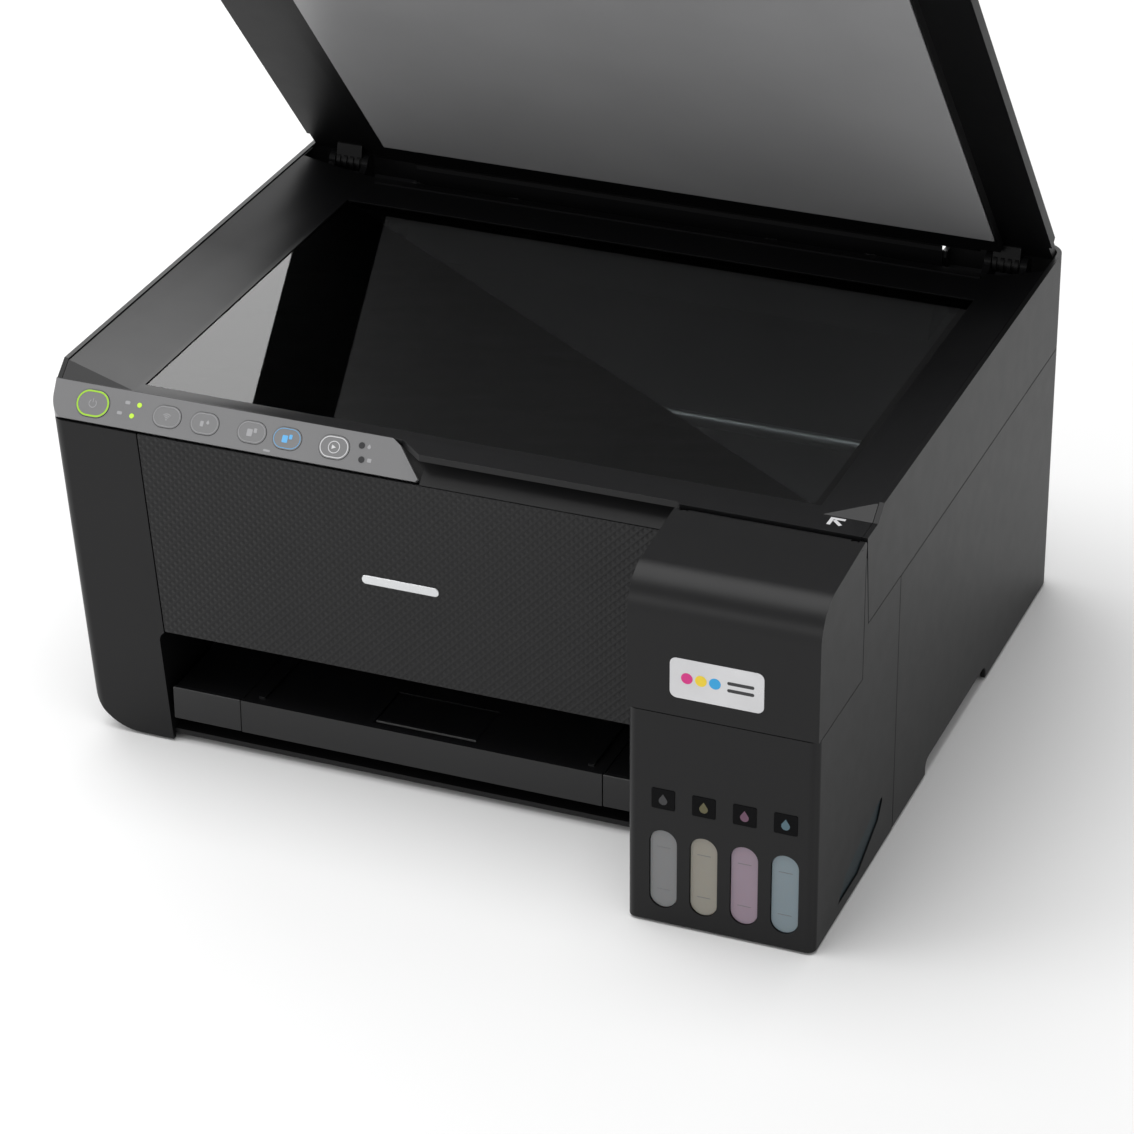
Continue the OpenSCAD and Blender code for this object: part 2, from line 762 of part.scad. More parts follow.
// One translucent tank with its level window, filling neck and outlet
module ink_tank(i) {
    x_mid = window_x(i);
    gap = 0.5;
    x0 = i == 0 ? tank_left + wall + gap : x_mid - window_pitch / 2 + gap / 2;
    x1 = i == 3 ? right - wall - gap : x_mid + window_pitch / 2 - gap / 2;
    y0 = tank_front + wall + gap;
    y1 = front + 45.6 - wall - 6;
    difference() {
        union() {
            box([x0, y0, base_z + wall + gap], [x1, y1, tank_top_z]);
            translate([x_mid, 0, 0]) sweep_y(tank_front + 0.9, y0 + eps) window_shape(0);
            translate([x_mid, neck_y, tank_top_z - eps]) cylinder(r = neck_r, h = 9);
        }
        translate([x_mid, neck_y, tank_top_z - 12]) cylinder(r = plug_r + 0.15, h = 40);
        box([x0 + 1.5, y0 + 1.5, base_z + wall + gap + 1.5], [x1 - 1.5, y1 - 1.5, tank_top_z - 2]);
    }
    if (i == 3) intersection() {
        sweep_x(x1 - eps, right - 0.9) side_lens(-0.25);
        box([x1 - 2, y0 + 1, 0], [far, y1 - 1, far]);
    }
}
neck_y = tank_front + 32;

module ink_tank_black() { color([0.55, 0.57, 0.6, 0.8]) ink_tank(0); }
module ink_tank_yellow() { color([0.72, 0.68, 0.6, 0.8]) ink_tank(1); }
module ink_tank_magenta() { color([0.66, 0.56, 0.63, 0.8]) ink_tank(2); }
module ink_tank_cyan() { color([0.5, 0.6, 0.68, 0.8]) ink_tank(3); }

// Cap with a plug that seals the neck and a finger tab
module tank_cap(i) {
    z = tank_top_z + 9 + 0.2;
    translate([window_x(i), neck_y, 0]) {
        translate([0, 0, z - 10]) cylinder(r = plug_r, h = 10 + eps);
        translate([0, 0, z]) cylinder(r = 7, h = 3);
        translate([0, 0, z + 3 - eps]) cylinder(r = 4.5, h = 4);
        translate([-3, 0, z]) cube([6, 15, 3]);
    }
}

module tank_cap_black() { color([0.12, 0.12, 0.12]) tank_cap(0); }
module tank_cap_yellow() { color([0.85, 0.75, 0.1]) tank_cap(1); }
module tank_cap_magenta() { color([0.75, 0.1, 0.4]) tank_cap(2); }
module tank_cap_cyan() { color([0.05, 0.5, 0.75]) tank_cap(3); }

// Profile of the tank cover in [y, z], pulled in by inset
module cover_profile(inset = 0) {
    cy = tank_front + cover_r;
    top_at_back = deck_z - 0.3;
    back_y = cover_back - 0.2;
    // centre height that lets the round meet both the front and the slope
    cz = top_at_back - (back_y - cy) * tan(cover_slope) - cover_r / cos(cover_slope);
    t = [cy - cover_r * sin(cover_slope), cz + cover_r * cos(cover_slope)];
    n = [sin(cover_slope), -cos(cover_slope)] * inset;
    translate([cy, cz]) circle(r = cover_r - inset);
    polygon([
        [tank_front + inset, tank_seam_z + seam + (inset > 0 ? -20 : 0)],
        [tank_front + inset, cz],
        [cy, cz],
        t + n,
        [back_y + (inset > 0 ? 20 : 0), top_at_back] + n
            + (inset > 0 ? [0, 20 * tan(cover_slope)] : [0, 0]),
        [back_y + (inset > 0 ? 20 : 0), tank_seam_z + seam + (inset > 0 ? -20 : 0)]
    ]);
}

module tank_cover() {
    x0 = tank_left + 0.1;
    x1 = right;
    color([0.055, 0.055, 0.06]) difference() {
        union() {
            difference() {
                sweep_x(x0, x1) cover_profile();
                sweep_x(x0 + wall, x1 - wall) cover_profile(wall);
                // relief for the hinge barrel
                rod_x(x0 - 1, x1 + 1, cover_hinge, cover_hinge_r + 1.2);
                box([x0 - 1, cover_hinge[0], cover_hinge[1] - 3], [x1 + 1, far, far]);
            }
            // round ends and barrel along the back edge
            for (x = [x0, x1 - wall]) rod_x(x, x + wall, cover_hinge, cover_hinge_r);
            sweep_x(x0, x1) polygon([
                cover_hinge + [-7, 1], cover_hinge + [0, 1],
                cover_hinge + [0, cover_hinge_r], cover_hinge + [-7, cover_hinge_r - 0.7]
            ]);
            for (x = [x0, x1 - wall]) sweep_x(x, x + wall) polygon([
                cover_hinge + [-7, -9], cover_hinge + [1.8, -9],
                cover_hinge + [cover_hinge_r, 0], cover_hinge + [-7, 1 + eps]
            ]);
            rod_x(x0 + 6, x1 - 6, cover_hinge, cover_hinge_r);
            sweep_x(x0 + 6, x1 - 6) polygon([
                cover_hinge + [-7, -1.5], cover_hinge + [0, -1.5],
                cover_hinge + [0, cover_hinge_r], cover_hinge + [-7, cover_hinge_r - 0.7]
            ]);
        }
        // shallow bed of the label
        sweep_y(tank_front - 5, tank_front + 0.4) label_shape(0.2);
        // pin holes, and room for the arms
        for (x = [x0 + 6, x1 - 6]) rod_x(x - 4.2, x + 4.2, cover_hinge, 1.2 + shaft_gap);
        for (x = [x0 + wall, x1 - 6]) rod_x(x, x + 6 - wall, cover_hinge, 2.8);
    }
}

module tank_label() {
    color([0.7, 0.71, 0.72]) sweep_y(tank_front, tank_front + 0.38) label_shape(0);
}

module label_shape(grow) {
    round_rect(tank_left + 18.5 - grow, tank_left + 58.8 + grow, 111 - grow, 129.5 + grow, 3 + grow);
}

// ---------------------------------------------------------------- scanner unit

// Outer form of the scanner unit: the casing and a nose that reaches the tank cover
module unit_form(inset = 0) {
    outer_form(inset);
    box([tank_left + seam + inset, unit_front_y + inset, -50], [right - inset, front + 40, 300]);
}

// Opening at the back for the paper feeder, in [y, z]
module feeder_notch() {
    polygon([
        [notch_y, far], [notch_y, deck_z - 12], [notch_y - 21, unit_bottom - 1],
        [notch_y - 21, unit_bottom - 20], [far, unit_bottom - 20], [far, far]
    ]);
}

// Slot between the closed halves where the lid's back edge swings
module lid_groove(grow = 0) {
    rod_x(left + 3 - grow, right - 3 + grow, lid_hinge, lid_swing + grow);
}

module rim_drop() {
    sweep_x(-far, far) polygon([
        [-far, deck_z], [panel_top[0] + 1, deck_z], [panel_top[0] + 9, rim_z + eps], [-far, far]
    ]);
}

module scanner_case() {
    z0 = unit_bottom;
    t = case_wall;
    shelf_back = shelf_y + 4;
    color([0.06, 0.06, 0.065]) {
        difference() {
            intersection() {
                difference() {
                    unit_form(0);
                    // room inside, open upwards
                    intersection() {
                        unit_form(t);
                        union() {
                            box([-far, shelf_back + t, z0 + t], [far, far, far]);
                            box([tank_left + t, -far, z0 + t], [far, far, far]);
                        }
                    }
                }
                box([-far, -far, z0], [far, far, rim_z]);
            }
            // shelf over the front panel; its back face leans so that the unit can lift
            sweep_x(-far, tank_left + eps) polygon([
                [-far, z0 - 1], [shelf_back, z0 - 1], [shelf_y, front_top_z + seam],
                [-far, front_top_z + seam]
            ]);
            // front of the unit behind the tank cover
            sweep_x(tank_left, far) polygon([
                [-far, z0 - 1], [unit_front(z0 - 1), z0 - 1], [unit_front(deck_z), deck_z],
                [unit_front(deck_z), far], [-far, far]
            ]);
            box([glass_x0 - 3.3, glass_y0 - 3.3, glass_z - glass_t - 2.8],
                [glass_x1 + 3.3, glass_y1 + 3.3, far]);
            control_slope();
            switch_room();
            finger_recess();
            // the bezel lies on the front block and reaches the front face
            box([panel_right_top, -far, deck_z - bezel_t - 0.2], [right - t, panel_top[0] + 12, far]);
            box([-far, panel_top[0] - 0.5, deck_z - bezel_t - 0.2], [right - t, shelf_back + t + 1, rim_z + 1]);
            rim_drop();
            sweep_x(-notch_x, notch_x) feeder_notch();
            // room to turn at the lower back edge
            sweep_x(-far, far) polygon([
                [back - 14, z0 - 1], [back - 14, z0], [back + 5, z0 + 1], [back + 5, z0 - 1]
            ]);
        }
        // side wall at the front, beside the bezel
        difference() {
            intersection() {
                difference() {
                    outer_form(0);
                    outer_form(t);
                }
                box([left - 10, panel_top[0] + 0.15, deck_z - bezel_t - 0.3],
                    [left + 12, shelf_back + t + 2, rim_z]);
            }
            rim_drop();
        }
        // sloping wall in front of the paper feeder, and its two cheeks
        sweep_x(-notch_x - t, notch_x + t) intersection() {
            difference() {
                translate([-t, 0]) feeder_notch();
                feeder_notch();
            }
            translate([-far, z0]) square([2 * far, trough_z - 0.3 - z0]);
        }
        for (s = [-1, 1]) difference() {
            sweep_x(min(s * notch_x, s * (notch_x + t)), max(s * notch_x, s * (notch_x + t)))
                intersection() {
                    translate([-t, 0]) feeder_notch();
                    translate([-far, z0]) square([far + back - 1, unit_hinge[1] + 4 - z0]);
                    union() {
                        translate([-far, z0]) square([2 * far, trough_z - 0.3 - z0]);
                        translate([unit_hinge[0] - 3.5, z0]) square([20, 100]);
                    }
                }
            lid_groove(0.2);
        }
        for (s = [-1, 1]) rod_x(
            min(s * (notch_x + 1), s * (bracket_x - 4)), max(s * (notch_x + 1), s * (bracket_x - 4)),
            unit_hinge, hinge_pin_r
        );
    }
}

bezel_t = 3;
trough_z = deck_z - 14.8;

// Everything in front of and above the control panel's back
module control_slope() {
    on_panel() box([-far, -80, -panel_t - 0.2], [panel_right_low + 1, panel_len + 0.5, far]);
}

// Room for the key switches behind the control panel
module switch_room() {
    low = panel_len / 2 - button_h / 2 - 2;
    high = panel_len / 2 + button_h / 2 + 2;
    on_panel() box([left + 10, low, -5], [left + 144, high, -panel_t]);
}

// Recess between the control panel and the tank housing
module finger_recess() {
    sweep_x(panel_right_low + 0.6, tank_left + seam) polygon([
        [front - 20, front_top_z + seam - 2], [front, front_top_z + seam],
        [front + 9.5, deck_z - 5.2], [front + 9.5, deck_z - bezel_t - 0.1],
        [front - 20, deck_z - bezel_t - 0.1]
    ]);
}

// Plan of the bezel
module bezel_plan() {
    edge = panel_top[0] + 0.2;
    intersection() {
        union() {
            box([-far, edge, -far], [far, far, far]);
            linear_extrude(300) polygon([
                [panel_right_top + 1, edge + 1], [panel_right_low + 1.2, front],
                [tank_left, front], [tank_left + 1, unit_front_y + 0.3],
                [right - case_wall - 0.2, unit_front_y + 0.3], [right - case_wall - 0.2, edge + 1]
            ]);
        }
        union() {
            outer_form(case_wall + 0.2);
            box([panel_right_top, unit_front_y, -50], [right - case_wall - 0.2, front + 30, 300]);
        }
    }
}

module scanner_bezel() {
    x0 = left + case_wall + 0.2;
    x1 = right - case_wall - 0.2;
    color([0.05, 0.05, 0.055]) {
        difference() {
            union() {
                intersection() {
                    bezel_plan();
                    sweep_y(front - 10, back) polygon([
                        [-far, rim_z - 2], [x0 + 1, rim_z - 0.6], [glass_x0 - 3, deck_z],
                        [glass_x1 + 3, deck_z], [x1 - 1, rim_z - 0.6], [far, rim_z - 0.6],
                        [far, deck_z - bezel_t], [-far, deck_z - bezel_t]
                    ]);
                }
                // frame under the deck that carries the glass
                box([glass_x0 - 3, glass_y0 - 3, glass_z - glass_t - 2.6],
                    [glass_x1 + 3, glass_y1 + 3, deck_z - bezel_t + eps]);
                // raised line in front of the hinge groove
                box([glass_x0 + 4, glass_y1 + 22, deck_z - eps],
                    [glass_x1 - 4, glass_y1 + 23.4, deck_z + 0.8]);
                trough_block();
            }
            box([glass_x0, glass_y0, glass_z - glass_t], [glass_x1, glass_y1, far]);
            box([glass_x0 + 4, glass_y0 + 4, 0], [glass_x1 - 4, glass_y1 - 4, far]);
            rim_drop();
            lid_groove();
            box([-far, lid_hinge[0] - 1, trough_z + bezel_t], [far, far, far]);
        }
        // small tabs that reach into the groove
        for (x = [62.5, 111.5, 240.5, 289.5]) difference() {
            box([left + x - 3, lid_hinge[0] - lid_swing - 1, deck_z - 3],
                [left + x + 3, lid_hinge[0] - 8, deck_z - 0.8]);
            rod_x(left, right, lid_hinge, 9.4);
        }
        // low wall between the trough and the paper feeder
        box([-notch_x - case_wall, notch_y - 2.2, trough_z], [notch_x + case_wall, notch_y - 0.2, deck_z]);
        for (s = [-1, 1]) for (x = [-8.5, 8.5]) lid_boss(s * (knuckle_x + x));
    }
}

// Trough under the lid's hinge
module trough_block() {
    intersection() {
        outer_form(case_wall + 0.2);
        difference() {
            box([-far, lid_hinge[0] - lid_swing - 2, trough_z], [far, back, deck_z - 1]);
            box([-notch_x - case_wall - 0.3, notch_y - 0.2, 0], [notch_x + case_wall + 0.3, far, far]);
        }
    }
}

module lid_boss(x) {
    difference() {
        sweep_x(x - 1.6, x + 1.6) {
            translate(lid_hinge) circle(r = 4.4);
            polygon([
                lid_hinge + [-4.4, 0], lid_hinge + [4.4, 0], lid_hinge + [4.4, -13],
                lid_hinge + [-11, -13], lid_hinge + [-11, -5]
            ]);
        }
        rod_x(x - 5, x + 5, lid_hinge, 2 + shaft_gap);
    }
}

module scanner_glass() {
    g = 0.15;
    color([0.6, 0.65, 0.68, 0.35]) box([glass_x0 + g, glass_y0 + g, glass_z - glass_t],
        [glass_x1 - g, glass_y1 - g, glass_z]);
}

module control_panel() {
    color([0.2, 0.2, 0.21]) difference() {
        intersection() {
            outer_form(0);
            on_panel() translate([0, 0, -panel_t]) linear_extrude(panel_t) {
                polygon([
                    [left - 20, 0], [panel_right_low - 1, 0], [panel_right_low, 1.2],
                    [panel_right_top + 2, panel_len - 2.6], [panel_right_top - 2, panel_len],
                    [left - 20, panel_len]
                ]);
            }
            box([-far, -far, 0], [far, panel_top[0], far]);
        }
        for (i = [0:len(button_x) - 1]) on_panel() translate([0, 0, -20])
            linear_extrude(40) button_outline(i, button_gap);
        for (p = light_at) on_panel() translate([left + p[0], p[1], -20])
            cylinder(r = 1.15, h = 40);
    }
}

module indicator_lights() {
    color([0.4, 0.85, 0.2]) for (p = light_at) on_panel()
        translate([left + p[0], p[1], -panel_t]) cylinder(r = 1.1, h = panel_t + 0.1);
}

// Push-button with round ends
module push_button(i) {
    on_panel() translate([0, 0, -panel_t]) linear_extrude(panel_t + button_proud) button_outline(i);
}

module button_outline(i, grow = 0) {
    w = button_w / 2 + button_extra[i] + grow;
    h = button_h / 2 + button_extra[i] + grow;
    x = left + button_x[i];
    round_rect(x - w, x + w, panel_len / 2 - h, panel_len / 2 + h, h - eps);
}

module power_button() { color([0.5, 0.7, 0.2]) push_button(0); }
module network_button() { color([0.3, 0.3, 0.3]) push_button(1); }
module status_button() { color([0.3, 0.3, 0.3]) push_button(2); }
module mono_copy_button() { color([0.3, 0.3, 0.3]) push_button(3); }
module colour_copy_button() { color([0.2, 0.5, 0.75]) push_button(4); }
module stop_button() { color([0.3, 0.3, 0.3]) push_button(5); }

scan_rail_at = [(glass_y0 + glass_y1) / 2, deck_z - 29];
module scan_rail() {
    color([0.7, 0.7, 0.72]) {
        rod_x(left + 14, right - 6, scan_rail_at, 3);
        for (x = [left + 18, right - 14]) box([x, scan_rail_at[0] - 5, unit_bottom + case_wall],
            [x + 5, scan_rail_at[0] + 5, scan_rail_at[1] + 5]);
    }
}

module scan_head() {
    x0 = glass_x0 + 6;
    z0 = deck_z - 22;
    z1 = glass_z - glass_t - 0.6 - 2.6;
    color([0.15, 0.15, 0.16]) difference() {
        union() {
            box([x0, glass_y0 + 6, z0], [x0 + 18, glass_y1 - 6, z1]);
            box([x0 - 2, scan_rail_at[0] - 9, scan_rail_at[1] - 5], [x0 + 20, scan_rail_at[0] + 9, z0 + eps]);
        }
        rod_x(x0 - 5, x0 + 30, scan_rail_at, 3 + shaft_gap);
        box([x0 + 5, glass_y0 + 9, z1 - 3], [x0 + 13, glass_y1 - 9, z1 + 1]);
    }
}

// ---------------------------------------------------------------- lid

lid_y0 = panel_top[0] + 0.4;
lid_half = body_w / 2 - 1.5;
lid_back_r = (body_h - rim_z - 0.4) / 2;

module lid_shell() {
    z0 = rim_z + 0.4;
    z1 = body_h;
    y1 = lid_hinge[0];
    pad_x0 = glass_x0 - 1.5;
    pad_x1 = glass_x1 + 1.5;
    color([0.03, 0.03, 0.033]) opened_lid() {
        difference() {
            union() {
                // top sheet with round front corners
                translate([0, 0, z0]) linear_extrude(z1 - z0) difference() {
                    round_rect(-lid_half, lid_half, lid_y0, y1 + 30, 10);
                    translate([-far, y1 - 12]) square([2 * far, 100]);
                }
                sweep_x(-lid_half + 1.4, lid_half - 1.4) {
                    translate([y1 - 12 - eps, z0]) square([12 - lid_back_r, z1 - z0]);
                    translate([y1 - 12, z0]) square([12, z1 - z0 - lid_back_r]);
                    translate([y1 - lid_back_r, z1 - lid_back_r]) circle(r = lid_back_r);
                }
                // raised pad that reaches down to the glass
                box([pad_x0, lid_y0 + 5, deck_z + 1.6], [pad_x1, y1 - 9, z0 + eps]);
            }
            // hollow of the pad
            box([pad_x0 + 3, lid_y0 + 8, deck_z + 3.6], [pad_x1 - 3, y1 - 12, z1 - 2]);
        }
        // bead along the hinge side and arms to the knuckles
        difference() {
            rod_x(-151, 151, [y1 - 4.2, z0 - 0.6], 2.6);
            box([-far, -far, z1], [far, far, far]);
        }
        for (s = [-1, 1]) lid_knuckle(s * knuckle_x);
    }
}

// Ribbed knuckle with its pins
module lid_knuckle(x) {
    z0 = rim_z + 0.4;
    rod_x(x - 6.5, x + 6.5, lid_hinge, 3.9);
    for (i = [0:3]) rod_x(x - 6 + i * 3.4, x - 6 + i * 3.4 + 1.8, lid_hinge, 4.7);
    rod_x(x - 10, x + 10, lid_hinge, 2);
    sweep_x(x - 6.5, x + 6.5) polygon([
        lid_hinge + [-3, -2], lid_hinge + [3, 0], [lid_hinge[0] - 0.5, z0 + 1],
        [lid_hinge[0] - 8, z0 + 1], [lid_hinge[0] - 8, z0 - 0.5]
    ]);
}

module lid_mat() {
    color([0.35, 0.35, 0.36]) opened_lid()
        box([glass_x0 + 7.5, lid_y0 + 7, deck_z + 0.5], [glass_x1 + 0.6, glass_y1 + 19, deck_z + 1.6]);
}

// ---------------------------------------------------------------- output tray

tray_back = exit_y - 12;
slide_back = front + tray_travel + 14;

module output_tray() {
    x0 = slot_left + 0.3;
    x1 = slot_right - 0.3;
    top = lip_top_z - 1;
    color([0.05, 0.05, 0.055]) {
        // left and right parts of the lip and of the tray floor
        for (r = [[x0, slide_x0 - 0.3], [slide_x1 + 0.3, x1]]) {
            box([r[0], front, lip_bottom_z], [r[1], front + wall, lip_top_z]);
            box([r[0], front + wall - eps, top - tray_t], [r[1], tray_back, top]);
            box([r[0], front + wall - eps, lip_bottom_z + 2], [r[0] + 2, tray_back, top]);
            box([r[1] - 2, front + wall - eps, lip_bottom_z + 2], [r[1], tray_back, top]);
        }
        // floor under the sliding part
        box([x0, front + wall + 1.5, lip_bottom_z + 2], [x1, tray_back, lip_bottom_z + 2 + tray_t]);
    }
}

stop_x = [slide_x0 + 62, slide_x1 - 62];
stop_hinge = [front + 9, lip_top_z - 2.5];
stop_len = 24;

module tray_slide() {
    x0 = slide_x0;
    x1 = slide_x1;
    top = lip_top_z - 1;
    color([0.05, 0.05, 0.055]) difference() {
        union() {
            box([x0, front, lip_bottom_z], [x1, front + wall, lip_top_z]);
            box([x0, front + wall - eps, top - 3.4], [x1, slide_back, top]);
            for (x = [x0 + 2, x1 - 4])
                box([x, front + wall - eps, lip_bottom_z + 2.4 + tray_t], [x + 2, slide_back, top]);
            for (x = [x0 + 6, x1 - 9])
                box([x, front + wall + 4, top - eps], [x + 3, slide_back - 20, top + 0.9]);
        }
        // pocket of the paper stop
        box([stop_x[0] - 0.5, stop_hinge[0] - 3.2, top - 2.8],
            [stop_x[1] + 0.5, stop_hinge[0] + stop_len + 0.8, far]);
        for (x = [stop_x[0], stop_x[1]]) rod_x(x - 3, x + 3, stop_hinge + [0, 0.2], 0.9 + shaft_gap);
    }
}

module tray_stop() {
    at = stop_hinge + [0, 0.2];
    color([0.06, 0.06, 0.065]) {
        rod_x(stop_x[0], stop_x[1], at, 1.2);
        rod_x(stop_x[0] - 2.4, stop_x[1] + 2.4, at, 0.9);
        box([stop_x[0], at[0], at[1] - 0.9], [stop_x[1], at[0] + stop_len, at[1] + 0.9]);
    }
}

// ---------------------------------------------------------------- rear feeder

module feeder_chute() {
    a = chute_top;
    b = chute_foot;
    n = chute_normal * chute_t;
    color([0.08, 0.08, 0.085]) {
        difference() {
            sweep_x(-feeder_half, feeder_half) polygon([a, b, b - n, a - n - [0, 3]]);
            // slots that the edge guides run in
            for (s = [-1, 1]) sweep_x(min(s * 30, s * 108), max(s * 30, s * 108))
                polygon([guide_at(-8, 5), guide_at(-8, -5), guide_at(-2, -5), guide_at(-2, 5)]);
        }
        // side cheeks
        for (x = [-feeder_half, feeder_half - 2]) sweep_x(x, x + 2) difference() {
            union() {
                polygon([
                    a, a + [-3, -8], pickup_at + [5, 5], pickup_at - [6, 0], b - [18, 9], b - n,
                    b - n - [0, 12], [a[0], b[1] + 40]
                ]);
                translate(pickup_at) circle(r = 6);
            }
            translate(pickup_at) circle(r = shaft_r + shaft_gap);
        }
        // lower paper guide
        sweep_x(-feeder_half, feeder_half) polygon([
            b + [0, 0], b + [-18, -9], [frame_y + 8, paper_z - 6], [frame_y + 8, paper_z - 8],
            b + [-17, -11], b - n
        ]);
    }
}

// Point on the chute: along it from the top, and out of it
function guide_at(along, out) = chute_top + chute_dir * along + chute_normal * out;

module edge_guide(side) {
    x = side * (feeder_half - 10);
    inner = x - side * 2;
    color([0.07, 0.07, 0.075]) {
        sweep_x(min(x, inner), max(x, inner)) polygon([
            guide_at(-30, 0.4), guide_at(-30, 5), [back - 9.9, chute_top[1] + 1],
            [back - 9.9, chute_top[1] + 13], [back - 4.8, chute_top[1] + 13],
            [back - 4.8, chute_top[1] + 0.4], [chute_top[0], chute_top[1] + 0.5]
        ]);
        sweep_x(min(x, x - side * 14), max(x, x - side * 14)) polygon([
            guide_at(-30, 0.4), guide_at(-30, 1.6), guide_at(-2.3, 1.6), guide_at(-2.3, 0.4)
        ]);
        sweep_x(min(x, x - side * 8), max(x, x - side * 8)) polygon([
            guide_at(-7.6, 0.5), guide_at(-7.6, -3.4), guide_at(-2.4, -3.4), guide_at(-2.4, 0.5)
        ]);
    }
}
module edge_guide_left() { edge_guide(-1); }
module edge_guide_right() { edge_guide(1); }

module paper_support() {
    y1 = back - wall - 0.1;
    color([0.06, 0.06, 0.065]) difference() {
        box([-90, y1 - support_t, 44], [90, y1, chute_top[1] + 6]);
        sweep_y(y1 - 15, y1 + 5) round_rect(-16, 16, chute_top[1] - 7, chute_top[1] - 1, 2.9);
    }
}

// ---------------------------------------------------------------- carriage

module carriage() {
    x0 = carriage_x0;
    x1 = carriage_x0 + carriage_w;
    y0 = feed_y - 38;
    y1 = belt_y - 4;
    z0 = paper_z + 6;
    color([0.12, 0.12, 0.13]) difference() {
        union() {
            box([x0, y0, z0], [x1, rod_at[0] - 7, 110]);
            box([x0, rod_at[0] - 7 - eps, rod_at[1] - 7], [x1, y1, rod_at[1] + 7]);
            box([x0 + 18, y1 - 8, rod_at[1]], [x1 - 18, belt_y + belt_w / 2 + 1.6, belt_z - 3]);
        }
        box([x0 + 2, y0 + 2, z0 + 3], [x1 - 2, rod_at[0] - 9, 120]);
        box([x0 + 6, y0 + 6, z0 - 1], [x1 - 6, rod_at[0] - 15, z0 + 10]);
        rod_x(x0 - 5, x1 + 5, rod_at, rod_r + shaft_gap);
        // clamp slot that the belt's lower run passes through
        box([x0 - 5, belt_y - belt_w / 2 - 0.4, belt_z - pulley_r - belt_t - 0.6],
            [x1 + 5, belt_y + belt_w / 2 + 0.4, belt_z - pulley_r + 0.3]);
    }
}

module print_head() {
    x0 = carriage_x0;
    x1 = carriage_x0 + carriage_w;
    y0 = feed_y - 38;
    z0 = paper_z + 6;
    color([0.3, 0.3, 0.31]) {
        box([x0 + 6.3, y0 + 6.3, paper_z + 1.5], [x1 - 6.3, rod_at[0] - 15.3, z0 + 3 + eps]);
        for (i = [0:3]) {
            w = (carriage_w - 6) / 4;
            box([x0 + 3 + i * w + 0.4, y0 + 3, z0 + 3], [x0 + 3 + (i + 1) * w - 0.4, rod_at[0] - 10, 102]);
        }
    }
}

// ---------------------------------------------------------------- nodes

bottom_pan();
left_cover();
right_cover();
rear_cover();
front_panel();
rubber_feet();
main_frame();
carriage_rail();
drive_belt();
carriage_motor();
feed_motor();
platen();
capping_station();
waste_ink_pad();
ink_tubes();
main_board();
power_supply();
case_screws();
tank_housing();
output_tray();
feeder_chute();
ink_tank_black();
ink_tank_yellow();
ink_tank_magenta();
ink_tank_cyan();
tank_cover();
tank_label();
tank_cap_black();
tank_cap_yellow();
tank_cap_magenta();
tank_cap_cyan();
scanner_case();
scanner_bezel();
scanner_glass();
control_panel();
indicator_lights();
scan_rail();
power_button();
network_button();
status_button();
mono_copy_button();
colour_copy_button();
stop_button();
scan_head();
lid_shell();
lid_mat();
tray_slide();
tray_stop();
paper_support();
edge_guide_left();
edge_guide_right();
carriage();
print_head();
feed_roller();
idler_gear();
exit_roller();
motor_pinion();
pickup_roller();
drive_pulley();
idler_pulley();
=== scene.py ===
import json
import math

import bmesh
import bpy
from mathutils import Matrix, Vector


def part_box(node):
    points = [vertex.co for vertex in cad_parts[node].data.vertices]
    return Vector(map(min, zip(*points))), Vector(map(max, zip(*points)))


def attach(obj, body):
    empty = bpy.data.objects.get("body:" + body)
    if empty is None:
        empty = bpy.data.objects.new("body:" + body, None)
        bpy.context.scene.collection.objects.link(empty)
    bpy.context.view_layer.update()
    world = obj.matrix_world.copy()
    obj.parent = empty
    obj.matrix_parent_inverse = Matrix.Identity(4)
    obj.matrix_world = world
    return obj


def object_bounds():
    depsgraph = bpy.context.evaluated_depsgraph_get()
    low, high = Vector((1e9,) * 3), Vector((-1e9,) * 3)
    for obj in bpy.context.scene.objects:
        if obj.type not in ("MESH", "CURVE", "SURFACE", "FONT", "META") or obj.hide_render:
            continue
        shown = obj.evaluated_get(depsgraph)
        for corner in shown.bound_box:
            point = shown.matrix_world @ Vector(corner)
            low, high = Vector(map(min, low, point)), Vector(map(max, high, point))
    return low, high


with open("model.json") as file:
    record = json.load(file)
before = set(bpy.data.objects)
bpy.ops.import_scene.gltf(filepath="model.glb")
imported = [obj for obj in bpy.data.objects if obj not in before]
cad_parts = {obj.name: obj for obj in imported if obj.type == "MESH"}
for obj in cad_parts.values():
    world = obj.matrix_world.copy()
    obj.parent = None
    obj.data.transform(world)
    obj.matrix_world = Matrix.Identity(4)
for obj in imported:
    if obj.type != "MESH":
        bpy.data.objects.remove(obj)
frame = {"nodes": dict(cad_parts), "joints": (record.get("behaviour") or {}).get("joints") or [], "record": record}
CAD_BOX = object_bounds()
NODES = frame["nodes"]
JOINTS = {joint["name"]: joint for joint in frame["joints"]}
MM = 0.001
X, Y, Z = Vector((1, 0, 0)), Vector((0, 1, 0)), Vector((0, 0, 1))


# ---------------------------------------------------------------- camera, light, floor

def make_camera():
    """A long lens, well in front, a little to the right and above the printer."""
    data = bpy.data.cameras.new("camera")
    data.sensor_width = 36.0
    data.lens = 133.6
    data.clip_start = 0.05
    camera = bpy.data.objects.new("camera", data)
    bpy.context.scene.collection.objects.link(camera)
    right = Vector((0.92781, 0.37299, -0.00685))
    up = Vector((-0.17439, 0.44988, 0.8759))
    back = right.cross(up)
    turn = Matrix((right, up, back)).transposed().to_4x4()
    camera.matrix_world = Matrix.Translation((0.635938, -1.542738, 0.975640)) @ turn
    bpy.context.scene.camera = camera


